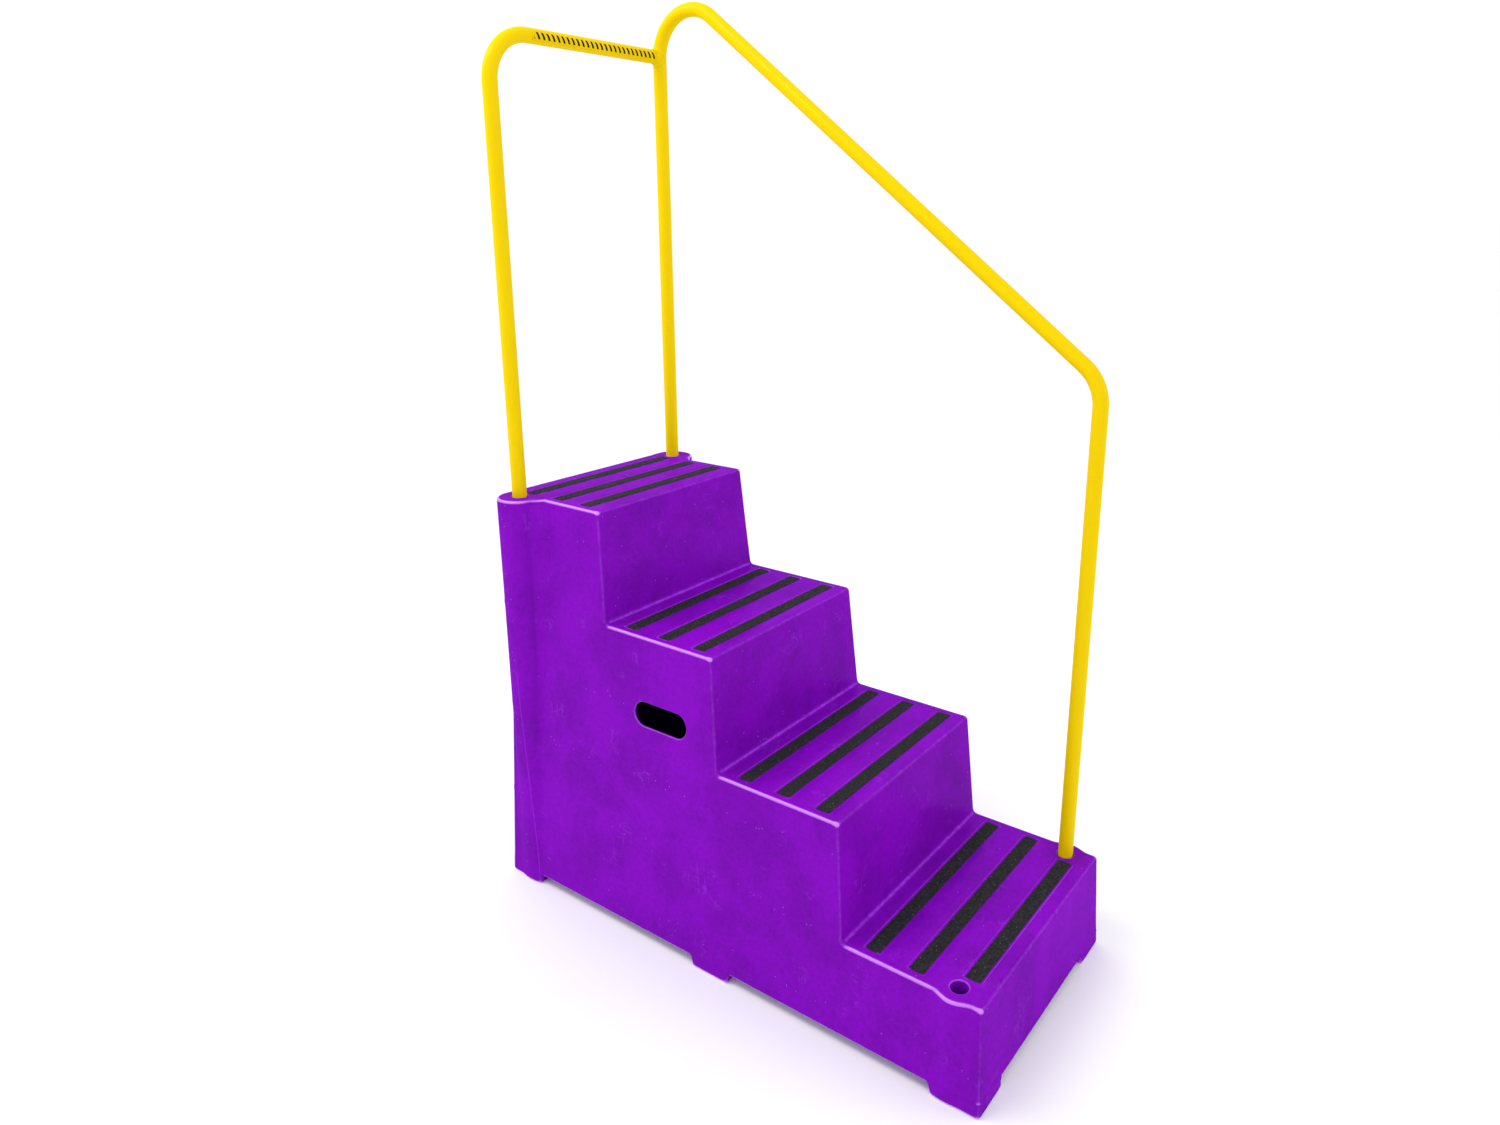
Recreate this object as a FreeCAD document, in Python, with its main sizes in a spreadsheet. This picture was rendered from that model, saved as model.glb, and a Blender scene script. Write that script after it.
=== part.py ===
"""Four-tread mounting block for riders, with a lift-out tubular handrail.

The block is one hollow moulding: a flight of four treads on six low feet, with a pillar at each
corner that holds a blind socket for a rail leg. The handrail is two bent steel tubes welded
together; its three legs stand in three of the four sockets and lift straight out.

Frame: +Z up, origin on the floor under the middle of the block, steps climb towards +Y, and +X is
the right hand of a rider who climbs them. All lengths are millimetres.
"""
import FreeCAD
import Part

import math
import os

import Sketcher

TREADS = 4

# Driving dimensions: alias, value, what it is. Everything else is worked out from these.
SIZES = (
    ("floor_length", 1090, "length of the block at the floor"),
    ("floor_width", 500, "width of the block at the floor"),
    ("first_rise", 190, "height of the lowest tread"),
    ("step_rise", 210, "height of each tread above the one below"),
    ("step_run", 272, "from one nose to the next"),
    ("nose_setback", 9.6, "lowest nose behind the foot of the front wall"),
    ("riser_lean", 17.7, "foot of a riser ahead of the nose above it"),
    ("rear_lean", 21, "how far the rear wall leans in over its height"),
    ("side_draft", 3.2, "degrees that each side wall leans in"),
    ("wall", 6, "wall of the hollow moulding"),
    ("edge_round", 8, "rounding along noses and corners"),
    ("foot_height", 19, "underside of the block above the floor"),
    ("foot_length", 95, "foot, front to back"),
    ("foot_width", 85, "foot, side to side"),
    ("socket_end_inset", 62, "socket axis from the front or rear end at the floor"),
    ("socket_side_inset", 38, "socket axis from the side at the floor"),
    ("socket_clearance", 1.35, "socket wall from the rail tube, all round"),
    ("socket_depth", 150, "depth of a rail socket"),
    ("socket_lip", 2.5, "bevel round the mouth of a socket"),
    ("rear_pillar_radius", 44, "radius of a rear corner pillar"),
    ("front_pillar_radius", 38, "radius of a front corner pillar"),
    ("slot_length", 125, "hand slot, front to back"),
    ("slot_height", 47, "hand slot, top to bottom"),
    ("slot_setback", 117, "hand slot centre behind the third nose"),
    ("slot_drop", 147.5, "hand slot centre below the third tread"),
    ("strip_width", 27, "width of a grip strip"),
    ("strip_thickness", 1.2, "thickness of a grip strip"),
    ("recess_depth", 1, "depth of the recess that a strip lies in"),
    ("recess_gap", 1, "gap round a strip in its recess"),
    ("strip_side_margin", 18, "end of a strip from the side edge of its tread"),
    ("strip_socket_gap", 10, "end of a strip from the socket beside it"),
    ("strip_first", 43, "first strip behind its nose"),
    ("strip_spacing", 81.5, "between strips on a tread"),
    ("top_strip_first", 53, "first strip behind the nose of the top tread"),
    ("top_strip_spacing", 73.5, "between strips on the top tread"),
    ("tube_diameter", 26.9, "outside diameter of the rail tube"),
    ("tube_wall", 2, "wall of the rail tube"),
    ("bend_radius", 85, "centre-line radius of every bend"),
    ("rail_front_height", 886, "slope line above the lowest tread, over the front leg"),
    ("rail_rear_height", 990, "slope line above the top tread, over the rear leg"),
    ("cross_rail_height", 822, "cross rail axis above the top tread"),
    ("weld_leg", 4, "leg of the weld fillet round the cross rail"),
    ("plug_flange", 3, "flange of a leg plug, which stands on the socket floor"),
    ("plug_stem", 22, "length of plug inside the tube"),
    ("plug_clearance", 0.1, "plug stem inside the tube wall, all round"),
    ("label_thickness", 0.2, "thickness of the marking band on the cross rail"),
    ("label_angle", 80, "degrees of the tube that the marking band covers"),
    ("label_gap", 4, "marking band from the bend and from the weld"),
)

# Overshoot of cutting tools past the faces that they cut.
TOOL_CLEARANCE = 20
# Two places closer than this are the same place.
NEAR = 0.01

doc = FreeCAD.newDocument("MountingBlock")
sheet = doc.addObject("Spreadsheet::Sheet", "Sizes")


def fill_sheet():
    """Write the driving dimensions into the sheet, one row each."""
    for row, (alias, value, meaning) in enumerate(SIZES, start=1):
        sheet.set(f"A{row}", meaning)
        sheet.set(f"B{row}", str(value))
        sheet.setAlias(f"B{row}", alias)
    doc.recompute()


def size(expression):
    """Value of an expression in sheet aliases, for geometry that is set in code."""
    return float(sheet.evalExpression(expression))


def bind(item, **expressions):
    """Bind properties to expressions; a double underscore in a name stands for a dot."""
    for name, expression in expressions.items():
        item.setExpression(name.replace("__", "."), str(expression))
    return item


def place(item, x="0", y="0", z="0"):
    """Bind the position of an item's Placement."""
    item.setExpression("Placement.Base.x", x)
    item.setExpression("Placement.Base.y", y)
    item.setExpression("Placement.Base.z", z)
    return item


def turn(item, axis, degrees):
    """Turn an item about one of its own axes."""
    item.Placement = FreeCAD.Placement(FreeCAD.Vector(), FreeCAD.Rotation(axis, degrees))
    return item


# Expressions that several sub-parts share. Each names the sheet, so any object can use them.
TUBE_R = "Sizes.tube_diameter / 2"
BORE_R = "(Sizes.tube_diameter / 2 + Sizes.socket_clearance)"
FRONT_END = "(-Sizes.floor_length / 2)"
REAR_END = "(Sizes.floor_length / 2)"
FIRST_NOSE = f"({FRONT_END} + Sizes.nose_setback)"
SOCKET_X = "(Sizes.floor_width / 2 - Sizes.socket_side_inset)"
SOCKET_Y = "(Sizes.floor_length / 2 - Sizes.socket_end_inset)"


def tread_z(tread):
    """Height of a tread, counted from 1 at the bottom."""
    return f"(Sizes.first_rise + {tread - 1} * Sizes.step_rise)"


def nose_y(tread):
    """Place of a tread's nose along the flight."""
    return f"({FIRST_NOSE} + {tread - 1} * Sizes.step_run)"


TOP_Z = tread_z(TREADS)
SOCKET_FLOOR_DROP = "(Sizes.socket_depth - Sizes.plug_flange)"


# ---------------------------------------------------------------- sketches

def origin_plane(body, role):
    """The origin plane of a body that has the given role."""
    return next(item for item in body.Origin.OriginFeatures if item.Role == role)


def new_sketch(body, name, role):
    """Empty sketch on one of a body's own origin planes."""
    sketch = body.newObject("Sketcher::SketchObject", name)
    sketch.AttachmentSupport = (origin_plane(body, role), [""])
    sketch.MapMode = "FlatFace"
    return sketch


def fix_point(sketch, geometry, point, across, up):
    """Hold one point of a sketch at two bound coordinates."""
    for kind, expression in (("DistanceX", across), ("DistanceY", up)):
        datum = size(expression)
        index = sketch.addConstraint(Sketcher.Constraint(kind, -1, 1, geometry, point, datum))
        sketch.setExpression(f"Constraints[{index}]", expression)


def polygon_sketch(body, name, role, corners):
    """Closed outline through corners, each a pair of expressions."""
    sketch = new_sketch(body, name, role)
    points = [FreeCAD.Vector(size(across), size(up), 0) for across, up in corners]
    for start, end in zip(points, points[1:] + points[:1]):
        sketch.addGeometry(Part.LineSegment(start, end), False)
    count = len(corners)
    for index, (across, up) in enumerate(corners):
        sketch.addConstraint(Sketcher.Constraint("Coincident", index, 2, (index + 1) % count, 1))
        fix_point(sketch, index, 1, across, up)
    return sketch


def padded_body(name, role, corners, length):
    """Body padded from an outline, half to each side of its plane."""
    body = doc.addObject("PartDesign::Body", name)
    pad = body.newObject("PartDesign::Pad", f"{name}_pad")
    pad.Profile = polygon_sketch(body, f"{name}_outline", role, corners)
    pad.SideType = "Symmetric"
    bind(pad, Length=length)
    return body


# ---------------------------------------------------------------- solids and booleans

def box(name, low, high):
    """Box between two corners, each three expressions."""
    item = doc.addObject("Part::Box", name)
    sides = [f"({top}) - ({bottom})" for bottom, top in zip(low, high)]
    bind(item, Length=sides[0], Width=sides[1], Height=sides[2])
    return place(item, *low)


def cylinder(name, radius, height, x="0", y="0", z="0"):
    """Upright cylinder on its lower centre."""
    item = doc.addObject("Part::Cylinder", name)
    bind(item, Radius=radius, Height=height)
    return place(item, x, y, z)


def fuse(name, items):
    """Union of several objects."""
    item = doc.addObject("Part::MultiFuse", name)
    item.Shapes = items
    return item


def common(name, items):
    """Intersection of several objects."""
    item = doc.addObject("Part::MultiCommon", name)
    item.Shapes = items
    return item


def cut(name, base, tool):
    """Base with the tool taken away."""
    item = doc.addObject("Part::Cut", name)
    item.Base = base
    item.Tool = tool
    return item


# ---------------------------------------------------------------- the moulded block

def flight_outline(inset):
    """Side view of the flight, drawn a given distance inside the outer skin."""
    corners = [(f"{FRONT_END} + {inset}", inset)]
    for tread in range(1, TREADS + 1):
        top = f"{tread_z(tread)} - {inset}"
        corners.append((f"{nose_y(tread)} + {inset}", top))
        if tread < TREADS:
            corners.append((f"{nose_y(tread + 1)} - Sizes.riser_lean + {inset}", top))
        else:
            corners.append((f"{REAR_END} - Sizes.rear_lean - {inset}", top))
    corners.append((f"{REAR_END} - {inset}", inset))
    return corners


def front_outline(inset):
    """Front view of the flight's two leaning side walls."""
    foot = f"(Sizes.floor_width / 2 - {inset})"
    head = f"({foot} - {TOP_Z} * tan(Sizes.side_draft))"
    return [(f"-{foot}", "0"), (foot, "0"), (head, TOP_Z), (f"-{head}", TOP_Z)]


def foot_pads(name, inset):
    """Six pads under the sides: at both ends and in the middle, on the left and on the right."""
    length = f"(Sizes.foot_length - {inset})"
    inner = f"(Sizes.floor_width / 2 - Sizes.foot_width + {inset})"
    outer = "Sizes.floor_width / 2"
    rows = (
        (FRONT_END, f"{FRONT_END} + {length}"),
        (f"-Sizes.foot_length / 2 + {inset}", f"Sizes.foot_length / 2 - {inset}"),
        (f"{REAR_END} - {length}", REAR_END),
    )
    pads = []
    for index, (near, far) in enumerate(rows):
        low, top = f"-{TOOL_CLEARANCE}", f"Sizes.foot_height + {inset} + {TOOL_CLEARANCE}"
        pads.append(box(f"{name}_left_{index}", (f"-{outer}", near, low), (f"-{inner}", far, top)))
        pads.append(box(f"{name}_right_{index}", (inner, near, low), (outer, far, top)))
    return fuse(name, pads)


def flight_form(name, inset):
    """The flight on its feet, a given distance inside the outer skin."""
    side = padded_body(f"{name}_side", "YZ_Plane", flight_outline(inset), "Sizes.floor_width")
    front = padded_body(f"{name}_front", "XZ_Plane", front_outline(inset), "Sizes.floor_length")
    margin = f"{TOOL_CLEARANCE}"
    slab = box(
        f"{name}_slab",
        (f"-Sizes.floor_width / 2 - {margin}", f"{FRONT_END} - {margin}", f"-{margin}"),
        (f"Sizes.floor_width / 2 + {margin}", f"{REAR_END} + {margin}", f"Sizes.foot_height + {inset}"),
    )
    gap = cut(f"{name}_gap", slab, foot_pads(f"{name}_pads", inset))
    wedge = common(f"{name}_wedge", [side, front])
    return wedge, gap


def corner_sites():
    """The four sockets: name, x, y, height of the mouth, pillar radius."""
    for side, sign in (("left", "-"), ("right", "")):
        yield f"front_{side}", f"{sign}{SOCKET_X}", f"-{SOCKET_Y}", tread_z(1), "Sizes.front_pillar_radius"
        yield f"rear_{side}", f"{sign}{SOCKET_X}", SOCKET_Y, TOP_Z, "Sizes.rear_pillar_radius"


def on_riser(point):
    """Whether a point lies on the front wall or on a riser."""
    for tread in range(1, TREADS + 1):
        nose, top = size(nose_y(tread)), size(tread_z(tread))
        lean = size("Sizes.nose_setback" if tread == 1 else "Sizes.riser_lean")
        foot = 0 if tread == 1 else size(tread_z(tread - 1))
        drop = (top - point.z) / (top - foot)
        within = -NEAR < top - point.z and drop < 1 - NEAR
        if within and abs(point.y - nose + lean * drop) < NEAR:
            return True
    return False


def rounded_flight(wedge):
    """The flight with its noses and the side edges of its risers rounded."""
    doc.recompute()
    rounded = doc.addObject("Part::Fillet", "outer_rounded")
    rounded.Base = wedge
    radius = size("Sizes.edge_round")
    rounded.Edges = [
        (number, radius, radius)
        for number, edge in enumerate(wedge.Shape.Edges, start=1)
        if on_riser(edge.CenterOfMass)
    ]
    return rounded


def strips():
    """Each grip strip: name, tread, middle along the flight, half length, as expressions."""
    for tread in range(1, TREADS + 1):
        prefix = "top_strip" if tread == TREADS else "strip"
        half_tread = f"(Sizes.floor_width / 2 - {tread_z(tread)} * tan(Sizes.side_draft))"
        full = f"({half_tread} - Sizes.strip_side_margin)"
        short = f"({SOCKET_X} - {BORE_R} - Sizes.strip_socket_gap)"
        for index, place_name in enumerate(("front", "middle", "rear")):
            middle = f"({nose_y(tread)} + Sizes.{prefix}_first + {index} * Sizes.{prefix}_spacing)"
            beside_socket = (tread, place_name) in ((1, "front"), (TREADS, "rear"))
            yield f"tread_{tread}_{place_name}_strip", tread, middle, short if beside_socket else full


def strip_box(name, tread, middle, half, gap, top):
    """Box on a strip's footprint, from the recess floor up."""
    floor = f"{tread_z(tread)} - Sizes.recess_depth"
    half_width = f"Sizes.strip_width / 2 + {gap}"
    low = (f"-{half} - {gap}", f"{middle} - ({half_width})", floor)
    high = (f"{half} + {gap}", f"{middle} + {half_width}", f"{floor} + {top}")
    return box(name, low, high)


def hand_slot_tool():
    """Round-ended bar across the whole block that cuts both hand slots."""
    middle_y = f"({nose_y(3)} + Sizes.slot_setback)"
    middle_z = f"({tread_z(3)} - Sizes.slot_drop)"
    reach = f"(Sizes.floor_width / 2 + {TOOL_CLEARANCE})"
    straight = "(Sizes.slot_length - Sizes.slot_height) / 2"
    pieces = [box(
        "slot_bar",
        (f"-{reach}", f"{middle_y} - {straight}", f"{middle_z} - Sizes.slot_height / 2"),
        (reach, f"{middle_y} + {straight}", f"{middle_z} + Sizes.slot_height / 2"),
    )]
    for end, sign in (("front", "-"), ("rear", "+")):
        item = turn(doc.addObject("Part::Cylinder", f"slot_{end}_end"), FreeCAD.Vector(0, 1, 0), 90)
        bind(item, Radius="Sizes.slot_height / 2", Height=f"2 * {reach}")
        pieces.append(place(item, f"-{reach}", f"{middle_y} {sign} {straight}", middle_z))
    return fuse("slot_tool", pieces)


def build_block():
    """The hollow moulding: skin, pillars, feet, sockets, hand slots and strip recesses."""
    wall = "Sizes.wall"
    outer_wedge, outer_gap = flight_form("outer", "0")
    inner_wedge, inner_gap = flight_form("inner", wall)

    pillars, cores, posts, bores = [], [], [], []
    for name, x, y, mouth, radius in corner_sites():
        pillars.append(cylinder(f"{name}_pillar", radius, mouth, x, y))
        cores.append(cylinder(f"{name}_core", f"{radius} - {wall}", f"{mouth} - 2 * {wall}", x, y, wall))
        floor = f"{mouth} - Sizes.socket_depth"
        length = f"Sizes.socket_depth + {wall}"
        posts.append(cylinder(f"{name}_post", f"{BORE_R} + {wall}", length, x, y, f"{floor} - {wall}"))
        length = f"Sizes.socket_depth + {TOOL_CLEARANCE}"
        bores.append(cylinder(f"{name}_bore", BORE_R, length, x, y, floor))
        mouth_cone = doc.addObject("Part::Cone", f"{name}_mouth")
        bind(mouth_cone, Radius1=BORE_R, Radius2=f"{BORE_R} + Sizes.socket_lip", Height="Sizes.socket_lip")
        bores.append(place(mouth_cone, x, y, f"{mouth} - Sizes.socket_lip"))

    skin = fuse("outer_skin", [rounded_flight(outer_wedge)] + pillars)
    solid = cut("outer_on_feet", skin, outer_gap)
    hollow = cut("inner_on_feet", fuse("inner_skin", [inner_wedge] + cores), inner_gap)
    void = cut("void", hollow, fuse("socket_posts", posts))

    recesses = []
    for name, tread, middle, half in strips():
        depth = f"Sizes.recess_depth + {TOOL_CLEARANCE}"
        recesses.append(strip_box(f"{name}_recess", tread, middle, half, "Sizes.recess_gap", depth))
    tools = fuse("block_tools", bores + recesses + [hand_slot_tool()])
    shell = cut("shell", solid, void)
    return cut("step_body", shell, tools)


def build_strips():
    """The twelve grip strips, each lying on the floor of its recess."""
    return [strip_box(name, tread, middle, half, "0", "Sizes.strip_thickness")
            for name, tread, middle, half in strips()]


# ---------------------------------------------------------------- the handrail

def bend_arc(before, corner, after, radius):
    """Arc of a given radius that rounds the corner between two straight runs."""
    incoming = (before - corner).normalize()
    outgoing = (after - corner).normalize()
    half_angle = incoming.getAngle(outgoing) / 2
    bisector = (incoming + outgoing).normalize()
    reach = radius / math.tan(half_angle)
    centre = corner + bisector * (radius / math.sin(half_angle))
    return corner + incoming * reach, centre - bisector * radius, corner + outgoing * reach


def nearer_end(sketch, geometry, point):
    """Which end of a sketch arc, 1 or 2, lies on a point."""
    gaps = {end: sketch.getPoint(geometry, end).distanceToPoint(point) for end in (1, 2)}
    return min(gaps, key=gaps.get)


def path_sketch(body, name, role, stations):
    """Straight runs joined by tangent bends of one radius.

    The first and last station are the path's ends, and the runs aim at the stations between.
    """
    sketch = new_sketch(body, name, role)
    points = [FreeCAD.Vector(size(across), size(up), 0) for across, up in stations]
    radius = size("Sizes.bend_radius")
    bends = [bend_arc(*trio, radius) for trio in zip(points, points[1:], points[2:])]
    starts = [points[0]] + [bend[2] for bend in bends]
    ends = [bend[0] for bend in bends] + [points[-1]]
    runs = [sketch.addGeometry(Part.LineSegment(a, b), False) for a, b in zip(starts, ends)]
    fix_point(sketch, runs[0], 1, *stations[0])
    fix_point(sketch, runs[-1], 2, *stations[-1])
    for index, (entry, middle, leave) in enumerate(bends):
        arc = sketch.addGeometry(Part.Arc(entry, middle, leave), False)
        corner = sketch.addGeometry(Part.Point(points[index + 1]), True)
        fix_point(sketch, corner, 1, *stations[index + 1])
        before, after = runs[index], runs[index + 1]
        joined_ends = (nearer_end(sketch, arc, entry), nearer_end(sketch, arc, leave))
        sketch.addConstraint(Sketcher.Constraint("Tangent", before, 2, arc, joined_ends[0]))
        sketch.addConstraint(Sketcher.Constraint("Tangent", after, 1, arc, joined_ends[1]))
        sketch.addConstraint(Sketcher.Constraint("PointOnObject", corner, 1, before))
        sketch.addConstraint(Sketcher.Constraint("PointOnObject", corner, 1, after))
        datum = sketch.addConstraint(Sketcher.Constraint("Radius", arc, radius))
        sketch.setExpression(f"Constraints[{datum}]", "Sizes.bend_radius")
    return sketch


def ring_sketch(body, name, centre, level, radii):
    """Level sketch with one circle for each radius, about a centre."""
    sketch = new_sketch(body, name, "XY_Plane")
    sketch.setExpression("AttachmentOffset.Base.z", level)
    middle = FreeCAD.Vector(size(centre[0]), size(centre[1]), 0)
    for radius in radii:
        circle = Part.Circle(middle, FreeCAD.Vector(0, 0, 1), size(radius))
        index = sketch.addGeometry(circle, False)
        fix_point(sketch, index, 3, *centre)
        datum = sketch.addConstraint(Sketcher.Constraint("Radius", index, size(radius)))
        sketch.setExpression(f"Constraints[{datum}]", radius)
    return sketch


def bent_tube(name, role, stations, foot, radii):
    """Body swept along a path that starts upwards from a foot; two radii make it hollow."""
    body = doc.addObject("PartDesign::Body", name)
    path = path_sketch(body, f"{name}_path", role, stations)
    profile = ring_sketch(body, f"{name}_ring", foot, stations[0][1], radii)
    doc.recompute()
    pipe = body.newObject("PartDesign::AdditivePipe", f"{name}_pipe")
    pipe.Profile = profile
    pipe.Spine = (path, [f"Edge{number}" for number in range(1, len(path.Shape.Edges) + 1)])
    return body


def handrail_bar(name, radii):
    """Bar along the handrail: up the front leg, up the slope, over the arch, down the rear leg."""
    front_foot = f"({tread_z(1)} - {SOCKET_FLOOR_DROP})"
    rear_foot = f"({TOP_Z} - {SOCKET_FLOOR_DROP})"
    stations = (
        (f"-{SOCKET_Y}", front_foot),
        (f"-{SOCKET_Y}", f"{tread_z(1)} + Sizes.rail_front_height"),
        (SOCKET_Y, f"{TOP_Z} + Sizes.rail_rear_height"),
        (SOCKET_Y, rear_foot),
    )
    body = bent_tube(name, "YZ_Plane", stations, ("0", f"-{SOCKET_Y}"), radii)
    return place(body, x=SOCKET_X)


def rear_rail_bar(name, radii):
    """Bar along the rear rail: up the rear left leg, then across to the handrail's rear leg."""
    foot = f"({TOP_Z} - {SOCKET_FLOOR_DROP})"
    level = f"({TOP_Z} + Sizes.cross_rail_height)"
    stations = (
        (f"-{SOCKET_X}", foot),
        (f"-{SOCKET_X}", level),
        (SOCKET_X, level),
    )
    body = bent_tube(name, "XZ_Plane", stations, (f"-{SOCKET_X}", "0"), radii)
    return place(body, y=SOCKET_Y)


def level_bar(name, radius, start, end):
    """Round bar along the cross rail's axis, between two places across the block."""
    item = turn(doc.addObject("Part::Cylinder", name), FreeCAD.Vector(0, 1, 0), 90)
    bind(item, Radius=radius, Height=f"({end}) - ({start})")
    return place(item, start, SOCKET_Y, f"{TOP_Z} + Sizes.cross_rail_height")


def build_rails():
    """The two bent tubes and the weld that joins them."""
    bore = f"{TUBE_R} - Sizes.tube_wall"
    swollen = f"{TUBE_R} + Sizes.weld_leg"
    handrail = handrail_bar("handrail_tube", (TUBE_R, bore))
    solid_rail = handrail_bar("handrail_solid", (TUBE_R,))
    rear_rail = cut("rear_rail_tube", rear_rail_bar("rear_rail_uncut", (TUBE_R, bore)), solid_rail)

    fillet = common("weld_blank", [
        handrail_bar("handrail_swollen", (swollen,)),
        level_bar("cross_swollen", swollen, "0", SOCKET_X),
    ])
    solid_cross = level_bar("cross_solid", TUBE_R, f"-{TOOL_CLEARANCE}", SOCKET_X)
    weld = cut("rail_weld", fillet, fuse("joined_rails", [solid_rail, solid_cross]))
    return [handrail, rear_rail, weld]


def build_label():
    """Thin marking band on the front of the cross rail."""
    start = f"(-{SOCKET_X} + Sizes.bend_radius + Sizes.label_gap)"
    end = f"({SOCKET_X} - {TUBE_R} - Sizes.weld_leg - Sizes.label_gap)"
    sector = level_bar("label_sector", f"{TUBE_R} + Sizes.label_thickness", start, end)
    bind(sector, Angle="Sizes.label_angle")
    across, along = FreeCAD.Vector(1, 0, 0), FreeCAD.Vector(0, 1, 0)
    face_forward = FreeCAD.Rotation(across, -90 - size("Sizes.label_angle") / 2)
    sector.Placement.Rotation = face_forward.multiply(FreeCAD.Rotation(along, 90))
    return cut("rail_label", sector, level_bar("label_core", TUBE_R, start, end))


def build_plugs():
    """A plug in the foot of each leg: a flange on the socket floor and a stem up the tube."""
    legs = (
        ("front_leg_plug", SOCKET_X, f"-{SOCKET_Y}", tread_z(1)),
        ("rear_right_leg_plug", SOCKET_X, SOCKET_Y, TOP_Z),
        ("rear_left_leg_plug", f"-{SOCKET_X}", SOCKET_Y, TOP_Z),
    )
    stem = f"({TUBE_R} - Sizes.tube_wall - Sizes.plug_clearance)"
    top = "(Sizes.plug_flange + Sizes.plug_stem)"
    half_section = (
        ("0", "0"), (TUBE_R, "0"), (TUBE_R, "Sizes.plug_flange"),
        (stem, "Sizes.plug_flange"), (stem, top), ("0", top),
    )
    plugs = []
    for name, x, y, mouth in legs:
        body = doc.addObject("PartDesign::Body", name)
        outline = polygon_sketch(body, f"{name}_half_section", "XZ_Plane", half_section)
        turned = body.newObject("PartDesign::Revolution", f"{name}_turned")
        turned.Profile = outline
        turned.ReferenceAxis = (outline, ["V_Axis"])
        turned.Angle = 360
        plugs.append(place(body, x, y, f"{mouth} - Sizes.socket_depth"))
    return plugs


# ---------------------------------------------------------------- building and writing

def check_document():
    """Stop if any object of the document failed to build."""
    for item in doc.Objects:
        if "Invalid" in item.State or "Error" in item.State:
            raise RuntimeError(f"{item.Label} failed: {item.State}")


def write_part(item):
    """Check one sub-part and write it as a STEP file."""
    shape = item.Shape
    if shape.isNull() or not shape.isValid() or not shape.Solids:
        raise RuntimeError(f"{item.Label} has no valid solid")
    shape.exportStep(os.path.join("parts", f"{item.Label}.step"))
    bounds = shape.BoundBox
    print(f"{item.Label}: {len(shape.Solids)} solid(s), {shape.Volume / 1000:.2f} cm3, "
          f"x {bounds.XMin:.1f}..{bounds.XMax:.1f}, y {bounds.YMin:.1f}..{bounds.YMax:.1f}, "
          f"z {bounds.ZMin:.1f}..{bounds.ZMax:.1f}")


def main():
    """Build every sub-part, check the document, and write the files."""
    fill_sheet()
    parts = [build_block()] + build_strips() + build_rails() + [build_label()] + build_plugs()
    for item in parts:
        item.Label = item.Name
    doc.recompute()
    check_document()
    os.makedirs("parts", exist_ok=True)
    for item in parts:
        write_part(item)


main()
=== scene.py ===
"""Looks of a four-tread mounting block with a lift-out handrail.

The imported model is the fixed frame. Every shape here is worked out with numpy, either as a
function of two parameters on a grid or as a profile carried along a path. The moulded block is a
closed lattice surface whose points slide onto the rounded skin, which is the zero level of a
distance function. All lengths are metres.
"""
import logging
import math
from dataclasses import dataclass, field
from enum import Enum
from functools import reduce

import bmesh
import bpy
import numpy as np
from mathutils import Matrix, Vector


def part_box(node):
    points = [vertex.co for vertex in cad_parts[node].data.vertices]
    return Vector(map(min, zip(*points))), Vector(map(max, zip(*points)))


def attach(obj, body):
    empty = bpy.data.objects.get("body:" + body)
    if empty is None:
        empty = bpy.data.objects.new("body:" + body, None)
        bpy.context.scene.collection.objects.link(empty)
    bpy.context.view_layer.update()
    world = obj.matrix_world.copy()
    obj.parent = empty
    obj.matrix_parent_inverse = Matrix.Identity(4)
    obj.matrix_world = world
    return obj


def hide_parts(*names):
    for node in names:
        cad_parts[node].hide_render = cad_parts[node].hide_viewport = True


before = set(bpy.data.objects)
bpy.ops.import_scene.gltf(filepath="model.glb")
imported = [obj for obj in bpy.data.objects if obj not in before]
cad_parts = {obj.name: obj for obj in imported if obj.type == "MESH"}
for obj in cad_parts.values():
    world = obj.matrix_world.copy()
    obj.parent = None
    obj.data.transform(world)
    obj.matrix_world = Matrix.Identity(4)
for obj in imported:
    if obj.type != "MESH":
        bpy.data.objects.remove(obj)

log = logging.getLogger("mounting_block")

MM = 0.001
TINY = 1e-12


class Slot(str, Enum):
    """Material slots of the record."""

    PLASTIC = "moulded_plastic"
    TAPE = "grip_tape"
    PAINT = "rail_paint"
    BAND = "marking_band"
    PLUG = "leg_plug"


class Body(str, Enum):
    """Rigid bodies of the model."""

    BLOCK = "block"
    RAIL = "handrail"


# ---------------------------------------------------------------- small numeric tools

def mm(*values: float) -> tuple[float, ...]:
    """Lengths in metres from lengths in millimetres."""
    return tuple(value * MM for value in values)


def smooth_step(value: np.ndarray) -> np.ndarray:
    """Cubic ease from 0 to 1, flat outside that range."""
    t = np.clip(value, 0.0, 1.0)
    return t * t * (3.0 - 2.0 * t)


def round_max(distances: list[np.ndarray], radius: float) -> np.ndarray:
    """Intersection of regions whose meeting edges are rounded.

    Each distance is moved in by the radius; outside, the length of the positive ones is the
    distance from the inner corner, and the radius is taken off again.

    Args:
        distances: signed distances of the regions, negative inside.
        radius: radius of the rounded edges.

    Returns:
        Signed distance of what lies in all the regions.
    """
    moved = np.stack(distances) + radius
    outside = np.sqrt((np.maximum(moved, 0.0) ** 2).sum(axis=0))
    return outside + np.minimum(moved.max(axis=0), 0.0) - radius


def smooth_min(a: np.ndarray, b: np.ndarray, reach: float) -> np.ndarray:
    """Union of two regions with a fillet: the lesser distance, less a parabola where they meet."""
    blend = np.maximum(reach - np.abs(a - b), 0.0) / reach
    return np.minimum(a, b) - blend * blend * reach / 4.0


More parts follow.
